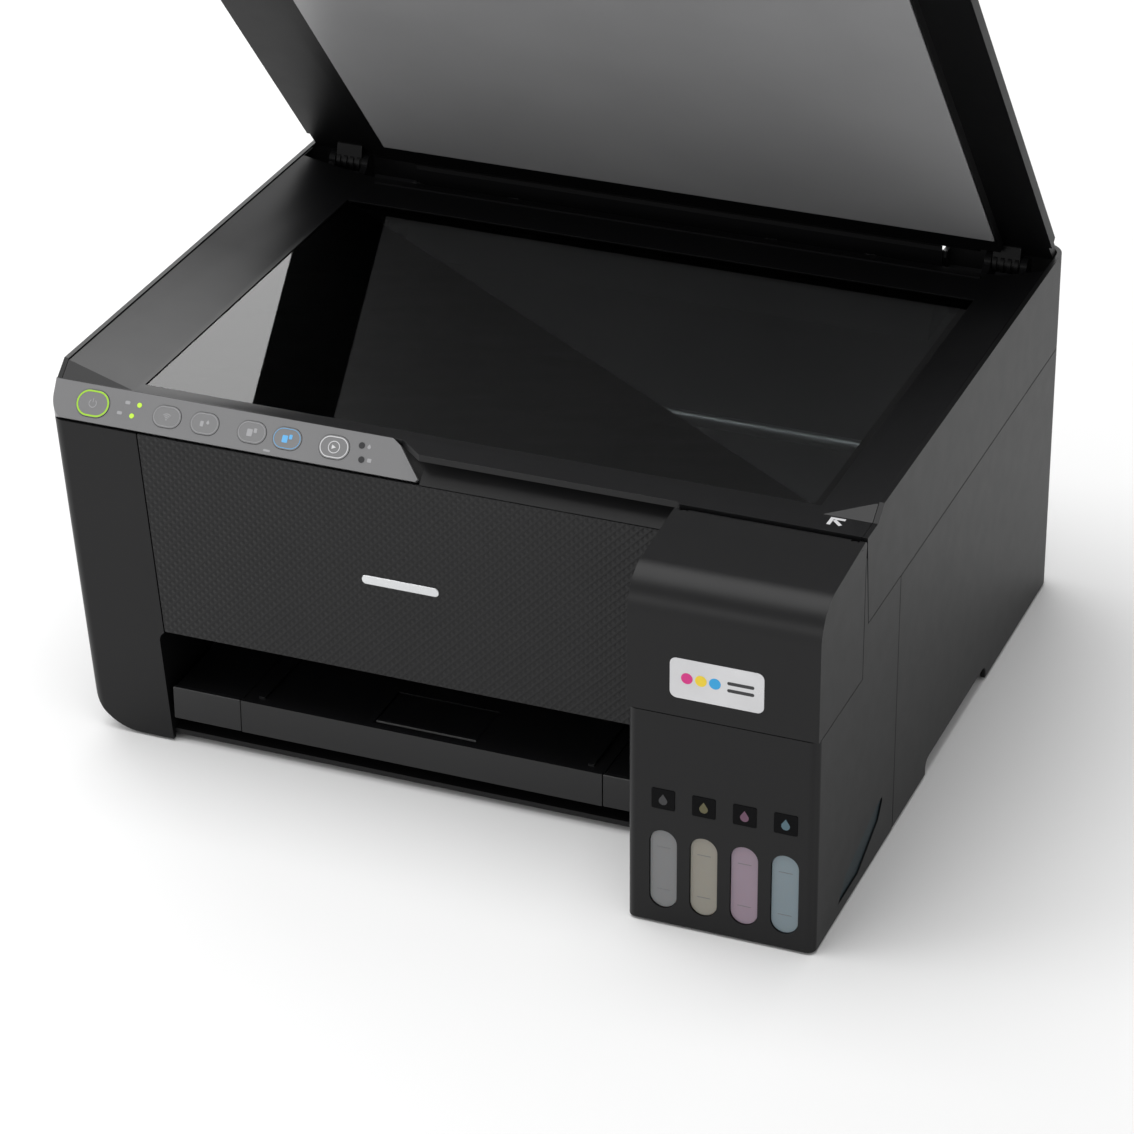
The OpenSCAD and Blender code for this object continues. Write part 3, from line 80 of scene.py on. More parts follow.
def area_light(name, at, aim, size, power):
    """A rectangular lamp at one place, turned to face another."""
    data = bpy.data.lights.new(name, "AREA")
    data.shape = "RECTANGLE"
    data.size, data.size_y = size
    data.energy = power
    light = bpy.data.objects.new(name, data)
    light.location = at
    light.rotation_euler = (Vector(aim) - Vector(at)).to_track_quat("-Z", "Y").to_euler()
    bpy.context.scene.collection.objects.link(light)


def make_light():
    """White surroundings and four large soft lamps."""
    world = bpy.data.worlds.new("studio")
    bpy.context.scene.world = world
    world.use_nodes = True
    world.node_tree.nodes["Background"].inputs["Color"].default_value = (1.0, 1.0, 1.0, 1)
    world.node_tree.nodes["Background"].inputs["Strength"].default_value = 0.45
    area_light("overhead", (-0.5, -0.1, 2.6), (0, 0, 0), (2.4, 2.4), 56)
    area_light("backdrop", (-1.6, 2.4, 1.7), (0, 0.1, 0.1), (2.6, 1.6), 31)
    area_light("front_low", (-0.95, -2.75, 0.85), (0, 0, 0.1), (1.5, 0.8), 12)
    area_light("left_fill", (-2.4, -1.2, 1.2), (0, 0, 0.1), (1.4, 1.4), 16)


def make_floor():
    """Plain white floor, wide enough to reach past the view."""
    mesh = bpy.data.meshes.new("floor")
    half = 6.0
    corners = [(-half, -half, 0), (half, -half, 0), (half, half, 0), (-half, half, 0)]
    mesh.from_pydata(corners, [], [(0, 1, 2, 3)])
    floor = bpy.data.objects.new("floor", mesh)
    bpy.context.scene.collection.objects.link(floor)
    floor.data.materials.append(FLOOR)


# ---------------------------------------------------------------- materials

def new_material(name, colour, rough, **sockets):
    """A Principled material; sockets are given by name with _ for a space."""
    material = bpy.data.materials.new(name)
    material.use_nodes = True
    shader = material.node_tree.nodes["Principled BSDF"]
    shader.inputs["Base Color"].default_value = (*colour, 1)
    shader.inputs["Roughness"].default_value = rough
    for key, value in sockets.items():
        shader.inputs[key.replace("_", " ")].default_value = value
    return material


def add_node(material, kind, **values):
    """A new shader node; a value goes to the input of that name, or else to the setting."""
    node = material.node_tree.nodes.new(kind)
    for key, value in values.items():
        if key in node.inputs:
            node.inputs[key].default_value = value
        else:
            setattr(node, key, value)
    return node


def noise_of(material, scale, detail=4.0):
    """A noise pattern fixed to the object, with scale in cells a metre."""
    coords = add_node(material, "ShaderNodeTexCoord")
    noise = add_node(material, "ShaderNodeTexNoise", Scale=scale, Detail=detail)
    material.node_tree.links.new(coords.outputs["Object"], noise.inputs["Vector"])
    return noise.outputs["Fac"]


def vary_colour(material, colour, amount, scale):
    """Makes the colour a little lighter and darker in soft patches."""
    links = material.node_tree.links
    ramp = add_node(material, "ShaderNodeValToRGB")
    ramp.color_ramp.elements[0].position = 0.3
    ramp.color_ramp.elements[1].position = 0.7
    ramp.color_ramp.elements[0].color = (*[c * (1 - amount) for c in colour], 1)
    ramp.color_ramp.elements[1].color = (*[c * (1 + amount) for c in colour], 1)
    links.new(noise_of(material, scale), ramp.inputs["Fac"])
    shader = material.node_tree.nodes["Principled BSDF"]
    links.new(ramp.outputs["Color"], shader.inputs["Base Color"])


def vary_rough(material, low, high, scale):
    """Spreads the roughness between two values."""
    links = material.node_tree.links
    spread = add_node(material, "ShaderNodeMapRange")
    spread.inputs["From Min"].default_value = 0.3
    spread.inputs["From Max"].default_value = 0.7
    spread.inputs["To Min"].default_value = low
    spread.inputs["To Max"].default_value = high
    links.new(noise_of(material, scale), spread.inputs["Value"])
    shader = material.node_tree.nodes["Principled BSDF"]
    links.new(spread.outputs["Result"], shader.inputs["Roughness"])


def painted_reflection_fade(material, near, far, y0, y1):
    """Painted reflection: lets the specular level fall from near to far between two places along Y, so the
    reflection fades towards the back.
    """
    links = material.node_tree.links
    coords = add_node(material, "ShaderNodeTexCoord")
    split = add_node(material, "ShaderNodeSeparateXYZ")
    links.new(coords.outputs["Object"], split.inputs["Vector"])
    spread = add_node(material, "ShaderNodeMapRange")
    for key, value in (("From Min", y0), ("From Max", y1), ("To Min", near), ("To Max", far)):
        spread.inputs[key].default_value = value
    links.new(split.outputs["Y"], spread.inputs["Value"])
    shader = material.node_tree.nodes["Principled BSDF"]
    links.new(spread.outputs["Result"], shader.inputs["Specular IOR Level"])


def painted_shade_right_side(material, level, painted_side_level):
    """Painted shade: lowers the specular level on faces that look to +X, so that side reads darker."""
    links = material.node_tree.links
    facing = add_node(material, "ShaderNodeNewGeometry")
    split = add_node(material, "ShaderNodeSeparateXYZ")
    links.new(facing.outputs["Normal"], split.inputs["Vector"])
    spread = add_node(material, "ShaderNodeMapRange")
    for key, value in (("From Min", 0.75), ("From Max", 0.98),
                       ("To Min", level), ("To Max", painted_side_level)):
        spread.inputs[key].default_value = value
    links.new(split.outputs["X"], spread.inputs["Value"])
    shader = material.node_tree.nodes["Principled BSDF"]
    links.new(spread.outputs["Result"], shader.inputs["Specular IOR Level"])


def add_bump(material, height, depth):
    """Raises the surface by a height pattern, without changing the mesh."""
    links = material.node_tree.links
    bump = add_node(material, "ShaderNodeBump", Distance=depth, Strength=1.0)
    shader = material.node_tree.nodes["Principled BSDF"]
    links.new(height, bump.inputs["Height"])
    links.new(bump.outputs["Normal"], shader.inputs["Normal"])


def moulded(name, colour, rough, grain=1800.0, depth=0.02 * MM, **sockets):
    """Moulded plastic: soft colour patches, uneven gloss and a spark-eroded grain."""
    material = new_material(name, colour, rough, **sockets)
    vary_colour(material, colour, 0.05, 14.0)
    vary_rough(material, rough * 0.97, rough * 1.03, 90.0)
    add_bump(material, noise_of(material, grain, 3.0), depth)
    return material


def metal(name, colour, rough, stretch=(1, 1, 1), scale=900.0):
    """Metal with fine brushing; stretch lengthens the brush marks along an axis."""
    material = new_material(name, colour, rough, Metallic=1.0)
    vary_colour(material, colour, 0.06, 30.0)
    coords = add_node(material, "ShaderNodeTexCoord")
    mapping = add_node(material, "ShaderNodeMapping")
    mapping.inputs["Scale"].default_value = stretch
    noise = add_node(material, "ShaderNodeTexNoise", Scale=scale, Detail=3.0)
    links = material.node_tree.links
    links.new(coords.outputs["Object"], mapping.inputs["Vector"])
    links.new(mapping.outputs["Vector"], noise.inputs["Vector"])
    add_bump(material, noise.outputs["Fac"], 0.01 * MM)
    vary_rough(material, rough * 0.85, rough * 1.2, 80.0)
    return material


def woven_plastic(name, colour, rough, pitch, depth):
    """Fine diagonal ribs that cross, as moulded into the front panel."""
    material = new_material(name, colour, rough, Specular_IOR_Level=0.3)
    vary_colour(material, colour, 0.08, 22.0)
    vary_rough(material, rough * 0.92, rough * 1.1, 60.0)
    links = material.node_tree.links
    coords = add_node(material, "ShaderNodeTexCoord")
    split = add_node(material, "ShaderNodeSeparateXYZ")
    links.new(coords.outputs["Object"], split.inputs["Vector"])
    waves = []
    for sign in (1, -1):
        along = add_node(material, "ShaderNodeMath", operation="MULTIPLY_ADD")
        along.inputs[1].default_value = sign
        links.new(split.outputs["X"], along.inputs[0])
        links.new(split.outputs["Z"], along.inputs[2])
        turns = add_node(material, "ShaderNodeMath", operation="MULTIPLY")
        turns.inputs[1].default_value = 2 * math.pi / (pitch * math.sqrt(2))
        links.new(along.outputs[0], turns.inputs[0])
        wave = add_node(material, "ShaderNodeMath", operation="SINE")
        links.new(turns.outputs[0], wave.inputs[0])
        waves.append(wave.outputs[0])
    weaker = add_node(material, "ShaderNodeMath", operation="MULTIPLY")
    weaker.inputs[1].default_value = 0.55
    links.new(waves[0], weaker.inputs[0])
    top = add_node(material, "ShaderNodeMath", operation="MAXIMUM")
    links.new(waves[1], top.inputs[0])
    links.new(weaker.outputs[0], top.inputs[1])
    add_bump(material, top.outputs[0], depth)
    return material


FLOOR = new_material("floor", (0.86, 0.86, 0.86), 0.9, Specular_IOR_Level=0.1)
vary_colour(FLOOR, (0.86, 0.86, 0.86), 0.004, 3.0)

CASING = moulded("casing", (0.0068, 0.0068, 0.0072), 0.38, Specular_IOR_Level=0.24)
# painted shade: the casing's right side gets a lower specular level so it reflects less and reads darker
painted_shade_right_side(CASING, 0.24, 0.10)
TRAY = moulded("tray", (0.0045, 0.0045, 0.0050), 0.30, 1500.0, 0.01 * MM, Specular_IOR_Level=0.45)
DECK = moulded("deck", (0.0060, 0.0060, 0.0065), 0.34, 2400.0, 0.008 * MM, Specular_IOR_Level=0.30)
# painted reflection: the deck's sheen fades from front to back through its specular level
painted_reflection_fade(DECK, 0.30, 0.07, -0.09, 0.04)
LID = moulded("lid", (0.0030, 0.0030, 0.0033), 0.46, 2000.0, 0.012 * MM, Specular_IOR_Level=0.16)
PANEL_RIBS = woven_plastic("casing_textured", (0.0065, 0.0065, 0.0070), 0.40, 2.9 * MM, 0.22 * MM)
INNER = moulded("inner_black", (0.0050, 0.0050, 0.0055), 0.46, 1500.0, 0.02 * MM,
                Specular_IOR_Level=0.3)
MAT = moulded("mat", (0.30, 0.30, 0.305), 0.30, 900.0, 0.003 * MM, Specular_IOR_Level=0.6)
STRIP = moulded("control_strip", (0.180, 0.180, 0.183), 0.30, 2600.0, 0.004 * MM, Coat_Weight=0.25)
KEY = moulded("key_grey", (0.190, 0.190, 0.193), 0.30, 2600.0, 0.004 * MM, Coat_Weight=0.25)
PRINT_GREY = moulded("print_grey", (0.33, 0.33, 0.34), 0.35, 2600.0, 0.002 * MM)
PRINT_DARK = moulded("print_dark", (0.022, 0.022, 0.024), 0.35, 2600.0, 0.002 * MM)
TAG = moulded("tag_black", (0.0030, 0.0030, 0.0034), 0.45, 2600.0, 0.002 * MM,
              Specular_IOR_Level=0.06)
LEVEL = moulded("level_line", (0.14, 0.14, 0.145), 0.40, 2600.0, 0.002 * MM)
LENS = moulded("dark_lens", (0.003, 0.015, 0.021), 0.36, 2600.0, 0.002 * MM, Specular_IOR_Level=0.08)
PRINT_WHITE = moulded("print_white", (0.62, 0.62, 0.63), 0.40, 2600.0, 0.002 * MM)
PRINT_GREEN = moulded("print_green", (0.34, 0.62, 0.035), 0.35, 2600.0, 0.002 * MM)
PRINT_BLUE = moulded("print_blue", (0.13, 0.42, 0.75), 0.35, 2600.0, 0.002 * MM)
PRINT_MAGENTA = moulded("print_magenta", (0.65, 0.02, 0.22), 0.35, 2600.0, 0.002 * MM)
PRINT_YELLOW = moulded("print_yellow", (0.85, 0.62, 0.03), 0.35, 2600.0, 0.002 * MM)
PRINT_CYAN = moulded("print_cyan", (0.02, 0.35, 0.70), 0.35, 2600.0, 0.002 * MM)
GUIDE = moulded("light_guide", (0.55, 0.85, 0.08), 0.25, 2600.0, 0.002 * MM)
SILVER = metal("silver_foil", (0.62, 0.62, 0.63), 0.32, (1, 8, 8))
BADGE = metal("badge_metal", (0.66, 0.67, 0.68), 0.28, (1, 8, 8))
STEEL = metal("sheet_steel", (0.50, 0.51, 0.53), 0.42, (1, 6, 6), 700.0)
ROD = metal("ground_rod", (0.62, 0.62, 0.63), 0.18, (0.2, 4, 4))
MOTOR = metal("motor_can", (0.30, 0.30, 0.31), 0.40, (1, 6, 6))
RUBBER = moulded("rubber", (0.012, 0.012, 0.012), 0.78, 1400.0, 0.03 * MM, Specular_IOR_Level=0.25)
ROLLER = moulded("roller_rubber", (0.045, 0.045, 0.047), 0.70, 1800.0, 0.03 * MM)
GEAR = moulded("gear_plastic", (0.60, 0.58, 0.52), 0.45, 1500.0, 0.01 * MM, Subsurface_Weight=0.05)
BOARD = moulded("solder_mask", (0.010, 0.075, 0.028), 0.30, 1200.0, 0.02 * MM)
FOAM = moulded("felt", (0.52, 0.52, 0.50), 0.95, 2600.0, 0.25 * MM)
TUBE = moulded("tube", (0.55, 0.52, 0.40), 0.22, 1200.0, 0.002 * MM, Transmission_Weight=0.35)


def glass():
    """Plate glass with a slight green tint, darkened grey as painted shade so the bay under it reads dark; a faint
    noise keeps the sheet from being perfect.
    """
    # painted shade: the grey of this tint darkens what is seen through the glass; the slight green is the glass's
    # own
    tint_and_shade = (0.46, 0.49, 0.49)
    material = new_material("glass", tint_and_shade, 0.03, Transmission_Weight=1.0, IOR=1.5)
    vary_colour(material, tint_and_shade, 0.01, 9.0)
    vary_rough(material, 0.012, 0.03, 40.0)
    return material


def tank_plastic(name, colour):
    """Milky see-through plastic of a tank."""
    material = moulded(name, colour, 0.33, 700.0, 0.006 * MM, Subsurface_Weight=0.12)
    material.node_tree.nodes["Principled BSDF"].inputs["Subsurface Scale"].default_value = 2 * MM
    return material


GLASS = glass()
TANKS = {
    "black": tank_plastic("tank_black", (0.170, 0.172, 0.175)),
    "yellow": tank_plastic("tank_yellow", (0.240, 0.225, 0.190)),
    "magenta": tank_plastic("tank_magenta", (0.250, 0.190, 0.235)),
    "cyan": tank_plastic("tank_cyan", (0.170, 0.215, 0.240)),
}
CAPS = {
    "black": moulded("cap_black", (0.02, 0.02, 0.02), 0.30),
    "yellow": moulded("cap_yellow", (0.72, 0.52, 0.03), 0.30),
    "magenta": moulded("cap_magenta", (0.55, 0.02, 0.20), 0.30),
    "cyan": moulded("cap_cyan", (0.02, 0.25, 0.55), 0.30),
}
BY_SLOT = {
    "casing": CASING, "casing_textured": PANEL_RIBS, "deck": DECK, "lid": LID, "mat": MAT,
    "glass": GLASS, "control_strip": STRIP, "key_grey": KEY, "key_green": KEY, "key_blue": KEY,
    "light": GUIDE, "sheet_steel": STEEL, "rod_steel": ROD, "rubber": RUBBER,
    "roller_rubber": ROLLER, "gear_plastic": GEAR, "inner_black": INNER, "board": BOARD,
    "foam": FOAM, "tube": TUBE, "motor": MOTOR, "label": SILVER,
}
BY_SLOT.update({f"tank_{ink}": material for ink, material in TANKS.items()})
BY_SLOT.update({f"cap_{ink}": material for ink, material in CAPS.items()})


def dress_nodes():
    """Gives every CAD node its material."""
    for part in frame["record"]["subparts"]:
        for place in NODES[part["node"]].material_slots:
            place.material = BY_SLOT[part["material_slot"]]
    # the scan rail takes the darker motor_can metal as painted shade, so it stays dark under the glass
    finer = {"output_tray": TRAY, "tray_slide": TRAY, "tray_stop": TRAY, "scan_rail": MOTOR}
    for node, material in finer.items():
        for place in NODES[node].material_slots:
            place.material = material


def soften_edges(names, width, angle=28.0):
    """Rounds a CAD node's sharp edges, as moulded or folded pieces have them."""
    for name in names:
        piece = NODES[name]
        if "custom_normal" in piece.data.attributes:
            piece.data.attributes.remove(piece.data.attributes["custom_normal"])
        piece.data.shade_smooth()
        weld = piece.modifiers.new("weld", "WELD")
        weld.merge_threshold = 0.002 * MM
        flat = piece.modifiers.new("flat", "DECIMATE")
        flat.decimate_type = "DISSOLVE"
        flat.angle_limit = math.radians(0.3)
        edge = piece.modifiers.new("edge", "BEVEL")
        edge.width = width
        edge.segments = 2
        edge.limit_method = "ANGLE"
        edge.angle_limit = math.radians(angle)
        edge.miter_outer = "MITER_ARC"
        normals = piece.modifiers.new("normals", "WEIGHTED_NORMAL")
        normals.weight = 100
        normals.keep_sharp = True


# ---------------------------------------------------------------- small pieces

MARK_THICK = 0.09 * MM
PRINT_THICK = 0.06 * MM
PRINT_EDGE = 0.02 * MM


def link_piece(name, mesh, material, body):
    """Adds a mesh to the scene as a piece that rides on a body."""
    piece = bpy.data.objects.new(name, mesh)
    bpy.context.scene.collection.objects.link(piece)
    piece.data.materials.append(material)
    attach(piece, body)
    return piece


def plane_at(origin, across, up):
    """Matrix of a plane: x runs across, y runs up, z comes out of it."""
    out = across.cross(up)
    turn = Matrix((across, up, out)).transposed().to_4x4()
    return Matrix.Translation(origin) @ turn


def arc(centre, radius, start, end, steps):
    """Points on a circle, angles in degrees."""
    angles = [math.radians(start + (end - start) * i / steps) for i in range(steps + 1)]
    return [(centre[0] + radius * math.cos(a), centre[1] + radius * math.sin(a)) for a in angles]


def rounded(width, height, radius, centre=(0, 0), steps=8):
    """Outline of a rectangle with round corners."""
    x, y = width / 2 - radius, height / 2 - radius
    corners = [(x, y, 0), (-x, y, 90), (-x, -y, 180), (x, -y, 270)]
    points = []
    for cx, cy, start in corners:
        points += arc((centre[0] + cx, centre[1] + cy), radius, start, start + 90, steps)
    return points


def add_plate(bm, outline, thick, edge):
    """Adds a plate with a bevelled upper edge to a bmesh, lying on z = 0."""
    inner = shrink(outline, edge)
    low = [bm.verts.new((x, y, 0)) for x, y in outline]
    mid = [bm.verts.new((x, y, thick - edge)) for x, y in outline]
    top = [bm.verts.new((x, y, thick)) for x, y in inner]
    count = len(outline)
    for i in range(count):
        j = (i + 1) % count
        bm.faces.new((low[i], low[j], mid[j], mid[i]))
        bm.faces.new((mid[i], mid[j], top[j], top[i]))
    bm.faces.new(top)
    bm.faces.new(list(reversed(low)))


def shrink(outline, amount):
    """Moves each point of a closed outline inwards by amount."""
    count = len(outline)
    area = sum(
        outline[i][0] * outline[(i + 1) % count][1] - outline[(i + 1) % count][0] * outline[i][1]
        for i in range(count)
    )
    side = 1 if area > 0 else -1
    moved = []
    for i in range(count):
        before, here, after = (Vector(outline[(i + k) % count]) for k in (-1, 0, 1))
        a = (here - before).normalized() if (here - before).length > 1e-9 else Vector((0, 0))
        b = (after - here).normalized() if (after - here).length > 1e-9 else Vector((0, 0))
        normal = Vector((-(a.y + b.y), a.x + b.x)) * side
        if normal.length > 1e-9:
            normal.normalize()
        moved.append(tuple(here + normal * amount))
    return moved


def plates(name, outlines, thick, where, material, body, edge=0.04 * MM):
    """One piece made of flat plates on a plane."""
    bm = bmesh.new()
    for outline in outlines:
        add_plate(bm, outline, thick, edge)
    bmesh.ops.recalc_face_normals(bm, faces=bm.faces)
    mesh = bpy.data.meshes.new(name)
    bm.to_mesh(mesh)
    bm.free()
    mesh.transform(where)
    return link_piece(name, mesh, material, body)


def ring_piece(name, outline, line, thick, where, material, body):
    """A closed raised line of the given width that follows an outline's inner side."""
    bm = bmesh.new()
    edge = min(thick, line) * 0.3
    loops = [
        (outline, 0), (outline, thick - edge), (shrink(outline, edge), thick),
        (shrink(outline, line - edge), thick), (shrink(outline, line), thick - edge),
        (shrink(outline, line), 0),
    ]
    rows = [[bm.verts.new((x, y, z)) for x, y in points] for points, z in loops]
    count = len(outline)
    for r in range(len(rows)):
        here, there = rows[r], rows[(r + 1) % len(rows)]
        for i in range(count):
            j = (i + 1) % count
            bm.faces.new((here[i], here[j], there[j], there[i]))
    bmesh.ops.recalc_face_normals(bm, faces=bm.faces)
    mesh = bpy.data.meshes.new(name)
    bm.to_mesh(mesh)
    bm.free()
    mesh.transform(where)
    return link_piece(name, mesh, material, body)


def drop(size, centre=(0, 0), steps=20):
    """Outline of an ink drop."""
    radius = size * 0.36
    base = (centre[0], centre[1] - size * 0.14)
    points = arc(base, radius, -215, 35, steps)
    return points + [(centre[0], centre[1] + size * 0.5)]


# ---------------------------------------------------------------- control strip

OUT = -Vector(JOINTS["power_button_press"]["axis"])
UP_SLOPE = OUT.cross(X)


def face_height(node):
    """How far a node reaches out along the strip's normal."""
    return max(v.co.dot(OUT) for v in NODES[node].data.vertices)


def button_plane(node):
    """Plane on top of a button, centred on it."""
    low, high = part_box(node)
    centre = (low + high) / 2
    return plane_at(centre + OUT * (face_height(node) - centre.dot(OUT)), X, UP_SLOPE)


def strip_plane(node):
    """Plane of the strip's face, centred beside a button."""
    low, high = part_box(node)
    centre = (low + high) / 2
    return plane_at(centre + OUT * (face_height("control_panel") - centre.dot(OUT)), X, UP_SLOPE)


def key_size(node):
    """Width of a button across, and its height up the slope."""
    spans = []
    for along in (X, UP_SLOPE):
        reach = [v.co.dot(along) for v in NODES[node].data.vertices]
        spans.append(max(reach) - min(reach))
    return spans


def key_ring(node, line, material, margin=0.5 * MM):
    """Raised ring on top of a button, a margin inside its edge."""
    width, height = key_size(node)
    width, height = width - 2 * margin, height - 2 * margin
    outline = rounded(width, height, height / 2 - 0.01 * MM, steps=14)
    ring_piece(f"{node}_ring", outline, line, 0.10 * MM, button_plane(node), material, node)


def power_mark():
    """Broken circle with a bar at its gap."""
    radius, line = 1.9 * MM, 0.36 * MM
    outer = arc((0, 0), radius, 125, 415, 26)
    inner = arc((0, 0), radius - line, 415, 125, 26)
    bar = rounded(line, radius, line * 0.45, (0, radius * 0.75), 3)
    plates("power_mark", [outer + inner, bar], MARK_THICK, button_plane("power_button"),
           PRINT_GREY, "power_button")


def network_mark():
    """Three arcs over a dot."""
    outlines = [rounded(0.7 * MM, 0.7 * MM, 0.34 * MM, (0, -1.3 * MM), 4)]
    for radius in (1.1, 1.9, 2.7):
        outer = arc((0, -1.3 * MM), radius * MM, 45, 135, 14)
        inner = arc((0, -1.3 * MM), (radius - 0.34) * MM, 135, 45, 14)
        outlines.append(outer + inner)
    plates("network_mark", outlines, MARK_THICK, button_plane("network_button"),
           PRINT_GREY, "network_button")


def sheet_mark(name, node, material):
    """A small sheet with a second one behind it."""
    outlines = [
        rounded(2.6 * MM, 3.2 * MM, 0.4 * MM, (-0.9 * MM, -0.3 * MM), 4),
        rounded(1.5 * MM, 2.0 * MM, 0.3 * MM, (1.6 * MM, 0.9 * MM), 4),
    ]
    plates(name, outlines, MARK_THICK, button_plane(node), material, node)


def stop_mark():
    """Small ring round a triangle."""
    outline = rounded(5.4 * MM, 5.4 * MM, 2.69 * MM, steps=10)
    ring_piece("stop_ring_inner", outline, 0.34 * MM, 0.10 * MM, button_plane("stop_button"),
               PRINT_WHITE, "stop_button")
    tip = [(-1.0 * MM, -1.0 * MM), (0.9 * MM, 0), (-1.0 * MM, 1.0 * MM)]
    plates("stop_mark", [tip], MARK_THICK, button_plane("stop_button"), PRINT_WHITE,
           "stop_button")


def status_mark():
    """A small sheet beside an ink drop."""
    outlines = [
        rounded(1.6 * MM, 2.4 * MM, 0.3 * MM, (-1.2 * MM, -0.2 * MM), 4),
        drop(2.0 * MM, (1.5 * MM, 0.8 * MM), 14),
    ]
    plates("status_mark", outlines, MARK_THICK, button_plane("status_button"), PRINT_GREY,
           "status_button")


def strip_signs():
    """Printed signs beside the lights and under the copy keys."""
    sheets = [rounded(2.4 * MM, 1.5 * MM, 0.5 * MM, (-19.6 * MM, 3.1 * MM), 4),
              rounded(2.4 * MM, 1.4 * MM, 0.5 * MM, (-22.4 * MM, -1.9 * MM), 4)]
    plates("light_signs", sheets, PRINT_THICK, strip_plane("network_button"), PRINT_GREY,
           "scanner_unit")
    link = [rounded(3.2 * MM, 0.9 * MM, 0.4 * MM, (-8.0 * MM, -6.6 * MM), 4)]
    plates("copy_sign", link, PRINT_THICK, strip_plane("colour_copy_button"), PRINT_GREY,
           "scanner_unit")
    warnings = [drop(2.2 * MM, (15.6 * MM, 2.9 * MM), 12),
                rounded(1.9 * MM, 1.7 * MM, 0.3 * MM, (17.0 * MM, -3.0 * MM), 3)]
    plates("warning_signs", warnings, PRINT_THICK, strip_plane("stop_button"), PRINT_GREY,
           "scanner_unit")


def unlit_lights():
    """The two lights beside the stop button are off."""
    plane = strip_plane("stop_button")
    plane.translation += OUT * (face_height("indicator_lights") - face_height("control_panel"))
    across, corner = 2.8 * MM, 1.39 * MM
    places = ((12.2 * MM, 2.86 * MM), (13.4 * MM, -3.14 * MM))
    caps = [rounded(across, across, corner, place, 8) for place in places]
    plates("unlit_lights", caps, PRINT_THICK, plane, PRINT_DARK, "scanner_unit",
           PRINT_EDGE)


def make_strip():
    """Rings and marks on the six buttons, and what is printed beside them."""
    key_ring("power_button", 0.75 * MM, PRINT_GREEN, 0.2 * MM)
    for node in ("network_button", "status_button", "mono_copy_button"):
        key_ring(node, 0.22 * MM, PRINT_GREY)
    key_ring("colour_copy_button", 0.22 * MM, PRINT_BLUE)
    key_ring("stop_button", 0.40 * MM, PRINT_WHITE)
    power_mark()
    network_mark()
    status_mark()
    sheet_mark("mono_mark", "mono_copy_button", PRINT_GREY)
    sheet_mark("colour_mark", "colour_copy_button", PRINT_BLUE)
    stop_mark()
    strip_signs()
    unlit_lights()


# ---------------------------------------------------------------- front

def front_plane(node, x, z):
    """Plane on a node's front face at the given place."""
    return plane_at(Vector((x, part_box(node)[0].y, z)), X, Z)


def make_badge():
    """Plain bar on the front panel."""
    outline = rounded(36 * MM, 4.2 * MM, 2.05 * MM, steps=10)
    plates("badge", [outline], 0.5 * MM, front_plane("front_panel", -21 * MM, 102.5 * MM),
           BADGE, "base", 0.2 * MM)


def window_centres():
    """Middle of each tank's level window along X."""
    return {ink: (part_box(f"tank_cap_{ink}")[0].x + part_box(f"tank_cap_{ink}")[1].x) / 2
            for ink in TANKS}


def make_tank_marks():
    """Raised tags over the windows, each with a drop, and two level lines on each window."""
    front_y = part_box("tank_housing")[0].y
    tag_z, tag_thick = 61.4 * MM, 0.35 * MM
    level_heights = (17.0 * MM, 37.5 * MM)
    for ink, x in window_centres().items():
        tag = plane_at(Vector((x, front_y, tag_z)), X, Z)
        plates(f"tag_{ink}", [rounded(10.2 * MM, 9.6 * MM, 0.7 * MM)], tag_thick, tag,
               TAG, "base", 0.12 * MM)
        lifted = plane_at(Vector((x, front_y - tag_thick, tag_z)), X, Z)
        plates(f"tag_drop_{ink}", [drop(5.2 * MM)], 0.08 * MM, lifted, TAG_INKS[ink],
               "base")
        window_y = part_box(f"ink_tank_{ink}")[0].y
        lines = [rounded(6.0 * MM, 0.30 * MM, 0.13 * MM, (0, z), 2) for z in level_heights]
        level = plane_at(Vector((x, window_y, 0)), X, Z)
        plates(f"level_lines_{ink}", lines, PRINT_THICK, level, LEVEL, "base",
               PRINT_EDGE)


TAG_INKS = {
    "black": PRINT_DARK, "yellow": moulded("tag_yellow", (0.09, 0.08, 0.03), 0.35),
    "magenta": moulded("tag_magenta", (0.12, 0.05, 0.09), 0.35),
    "cyan": moulded("tag_cyan", (0.06, 0.12, 0.15), 0.35),
}


def make_side_lens():
    """Dark see-through window in the housing's side, over the cyan tank."""
    side_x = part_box("ink_tank_cyan")[1].x
    y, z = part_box("tank_housing")[0].y / MM + 31, 6.5
    margin = 0.4 * MM
    outline = [(y, z), (y + 26, z), (y + 52, z + 11), (y + 57, z + 18), (y + 57, z + 20),
               (y + 49, z + 20), (y + 8, z + 9)]
    outline = [(a * MM, b * MM) for a, b in outline]
    plane = plane_at(Vector((side_x, 0, 0)), Y, Z)
    plates("side_lens", [shrink(outline, margin)], 0.3 * MM, plane, LENS,
           "base", 0.1 * MM)


def make_label_print():
    """Three ink dots and a plain bar on the silver label."""
    low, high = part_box("tank_label")
    plane = plane_at(Vector(((low.x + high.x) / 2, low.y, (low.z + high.z) / 2)), X, Z)
    inks = (PRINT_MAGENTA, PRINT_YELLOW, PRINT_CYAN)
    for k, ink in enumerate(inks):
        dot = rounded(5.0 * MM, 5.0 * MM, 2.49 * MM, ((-12.8 + 6.0 * k) * MM, 0.4 * MM), 10)
        plates(f"label_dot_{k}", [dot], 0.07 * MM, plane, ink, "tank_cover", PRINT_EDGE)
    bars = [rounded(11.5 * MM, 1.5 * MM, 0.7 * MM, (10.2 * MM, z * MM), 5) for z in (1.9, -1.4)]
    plates("label_bars", bars, 0.07 * MM, plane, PRINT_DARK, "tank_cover", PRINT_EDGE)


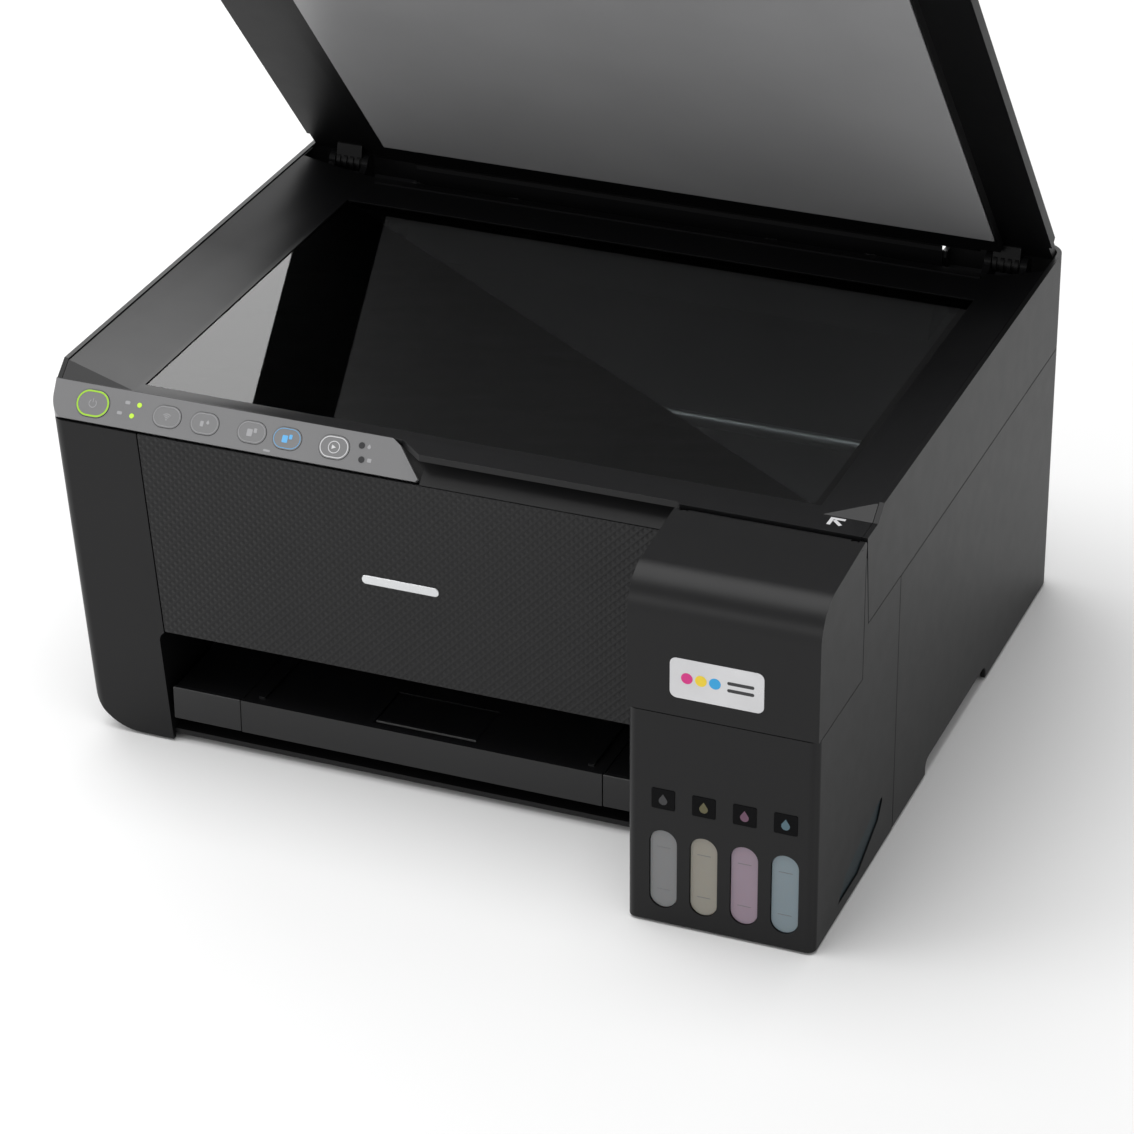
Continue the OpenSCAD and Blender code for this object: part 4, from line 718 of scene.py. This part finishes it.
def make_arrow():
    """White corner arrow on the deck that shows where a sheet's corner goes."""
    low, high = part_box("scanner_glass")
    deck_z = high.z + 0.5 * MM
    plane = plane_at(Vector((high.x + 10.2 * MM, low.y - 11.5 * MM, deck_z)), X, Y)
    half, line = 3.2 * MM, 1.6 * MM
    corner = [(-half, half), (-half, -half), (-half + line, -half),
              (-half + line, half - line), (half, half - line), (half, half)]
    reach = line * 0.7
    stem = [(-half + line + reach, half - line), (-half + line, half - line - reach),
            (half - reach, -half), (half, -half + reach)]
    plates("corner_arrow", [corner, stem], PRINT_THICK, plane, PRINT_WHITE,
           "scanner_unit", PRINT_EDGE)


def make_baffles():
    """Two thin strips that keep light out of the hinge gap, on the wall and on the lid."""
    hinge = Vector(JOINTS["lid_hinge"]["pos_m"])
    length, corner = 264 * MM, 0.4 * MM
    wall = plane_at(hinge + Y * 4.2 * MM + Z * 0.3 * MM, X, Z)
    plates("wall_baffle", [rounded(length, 4.2 * MM, corner)], 0.35 * MM, wall,
           INNER, "scanner_unit", 0.1 * MM)
    opened = math.radians(-JOINTS["lid_hinge"]["range_deg"][0])
    out = Vector((0, math.sin(opened), math.cos(opened)))
    along = Vector((0, -math.cos(opened), math.sin(opened)))
    lid = plane_at(hinge + along * 0.2 * MM + out * 4.25 * MM, X, out)
    plates("lid_baffle", [rounded(length, 2.5 * MM, corner)], 1.0 * MM, lid,
           LID, "lid", 0.2 * MM)


def make_sill():
    """Curved strip that closes the gap between the left cover's foot and the bottom pan."""
    low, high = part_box("left_cover")
    radius, inner_radius = 24.9 * MM, 22.6 * MM
    start, end, steps = 209, 262, 24
    front_gap, back_gap = 2.6 * MM, 5 * MM
    # the foot's own centre, from the model's left side and the floor
    centre = (CAD_BOX[0][0] + 36.89 * MM, 26.2 * MM)
    outline = arc(centre, radius, start, end, steps) + arc(centre, inner_radius, end, start, steps)
    plane = plane_at(Vector((0, high.y - back_gap, 0)), X, Z)
    length = high.y - low.y - back_gap - front_gap
    plates("sill", [outline], length, plane, CASING, "base", 0.2 * MM)


# ---------------------------------------------------------------- scene

make_camera()
make_light()
make_floor()
dress_nodes()
soften_edges(["left_cover", "right_cover", "rear_cover", "scanner_case", "lid_shell"], 0.55 * MM)
soften_edges(["tank_housing", "tank_cover"], 0.9 * MM)
soften_edges(["front_panel", "scanner_bezel"], 0.4 * MM)
soften_edges(["output_tray", "tray_slide"], 0.7 * MM)
soften_edges(["control_panel", "tray_stop", "paper_support", "lid_mat"], 0.25 * MM)
make_strip()
make_badge()
make_tank_marks()
make_side_lens()
make_label_print()
make_arrow()
make_baffles()
make_sill()
bpy.context.scene.view_settings.view_transform = "Standard"
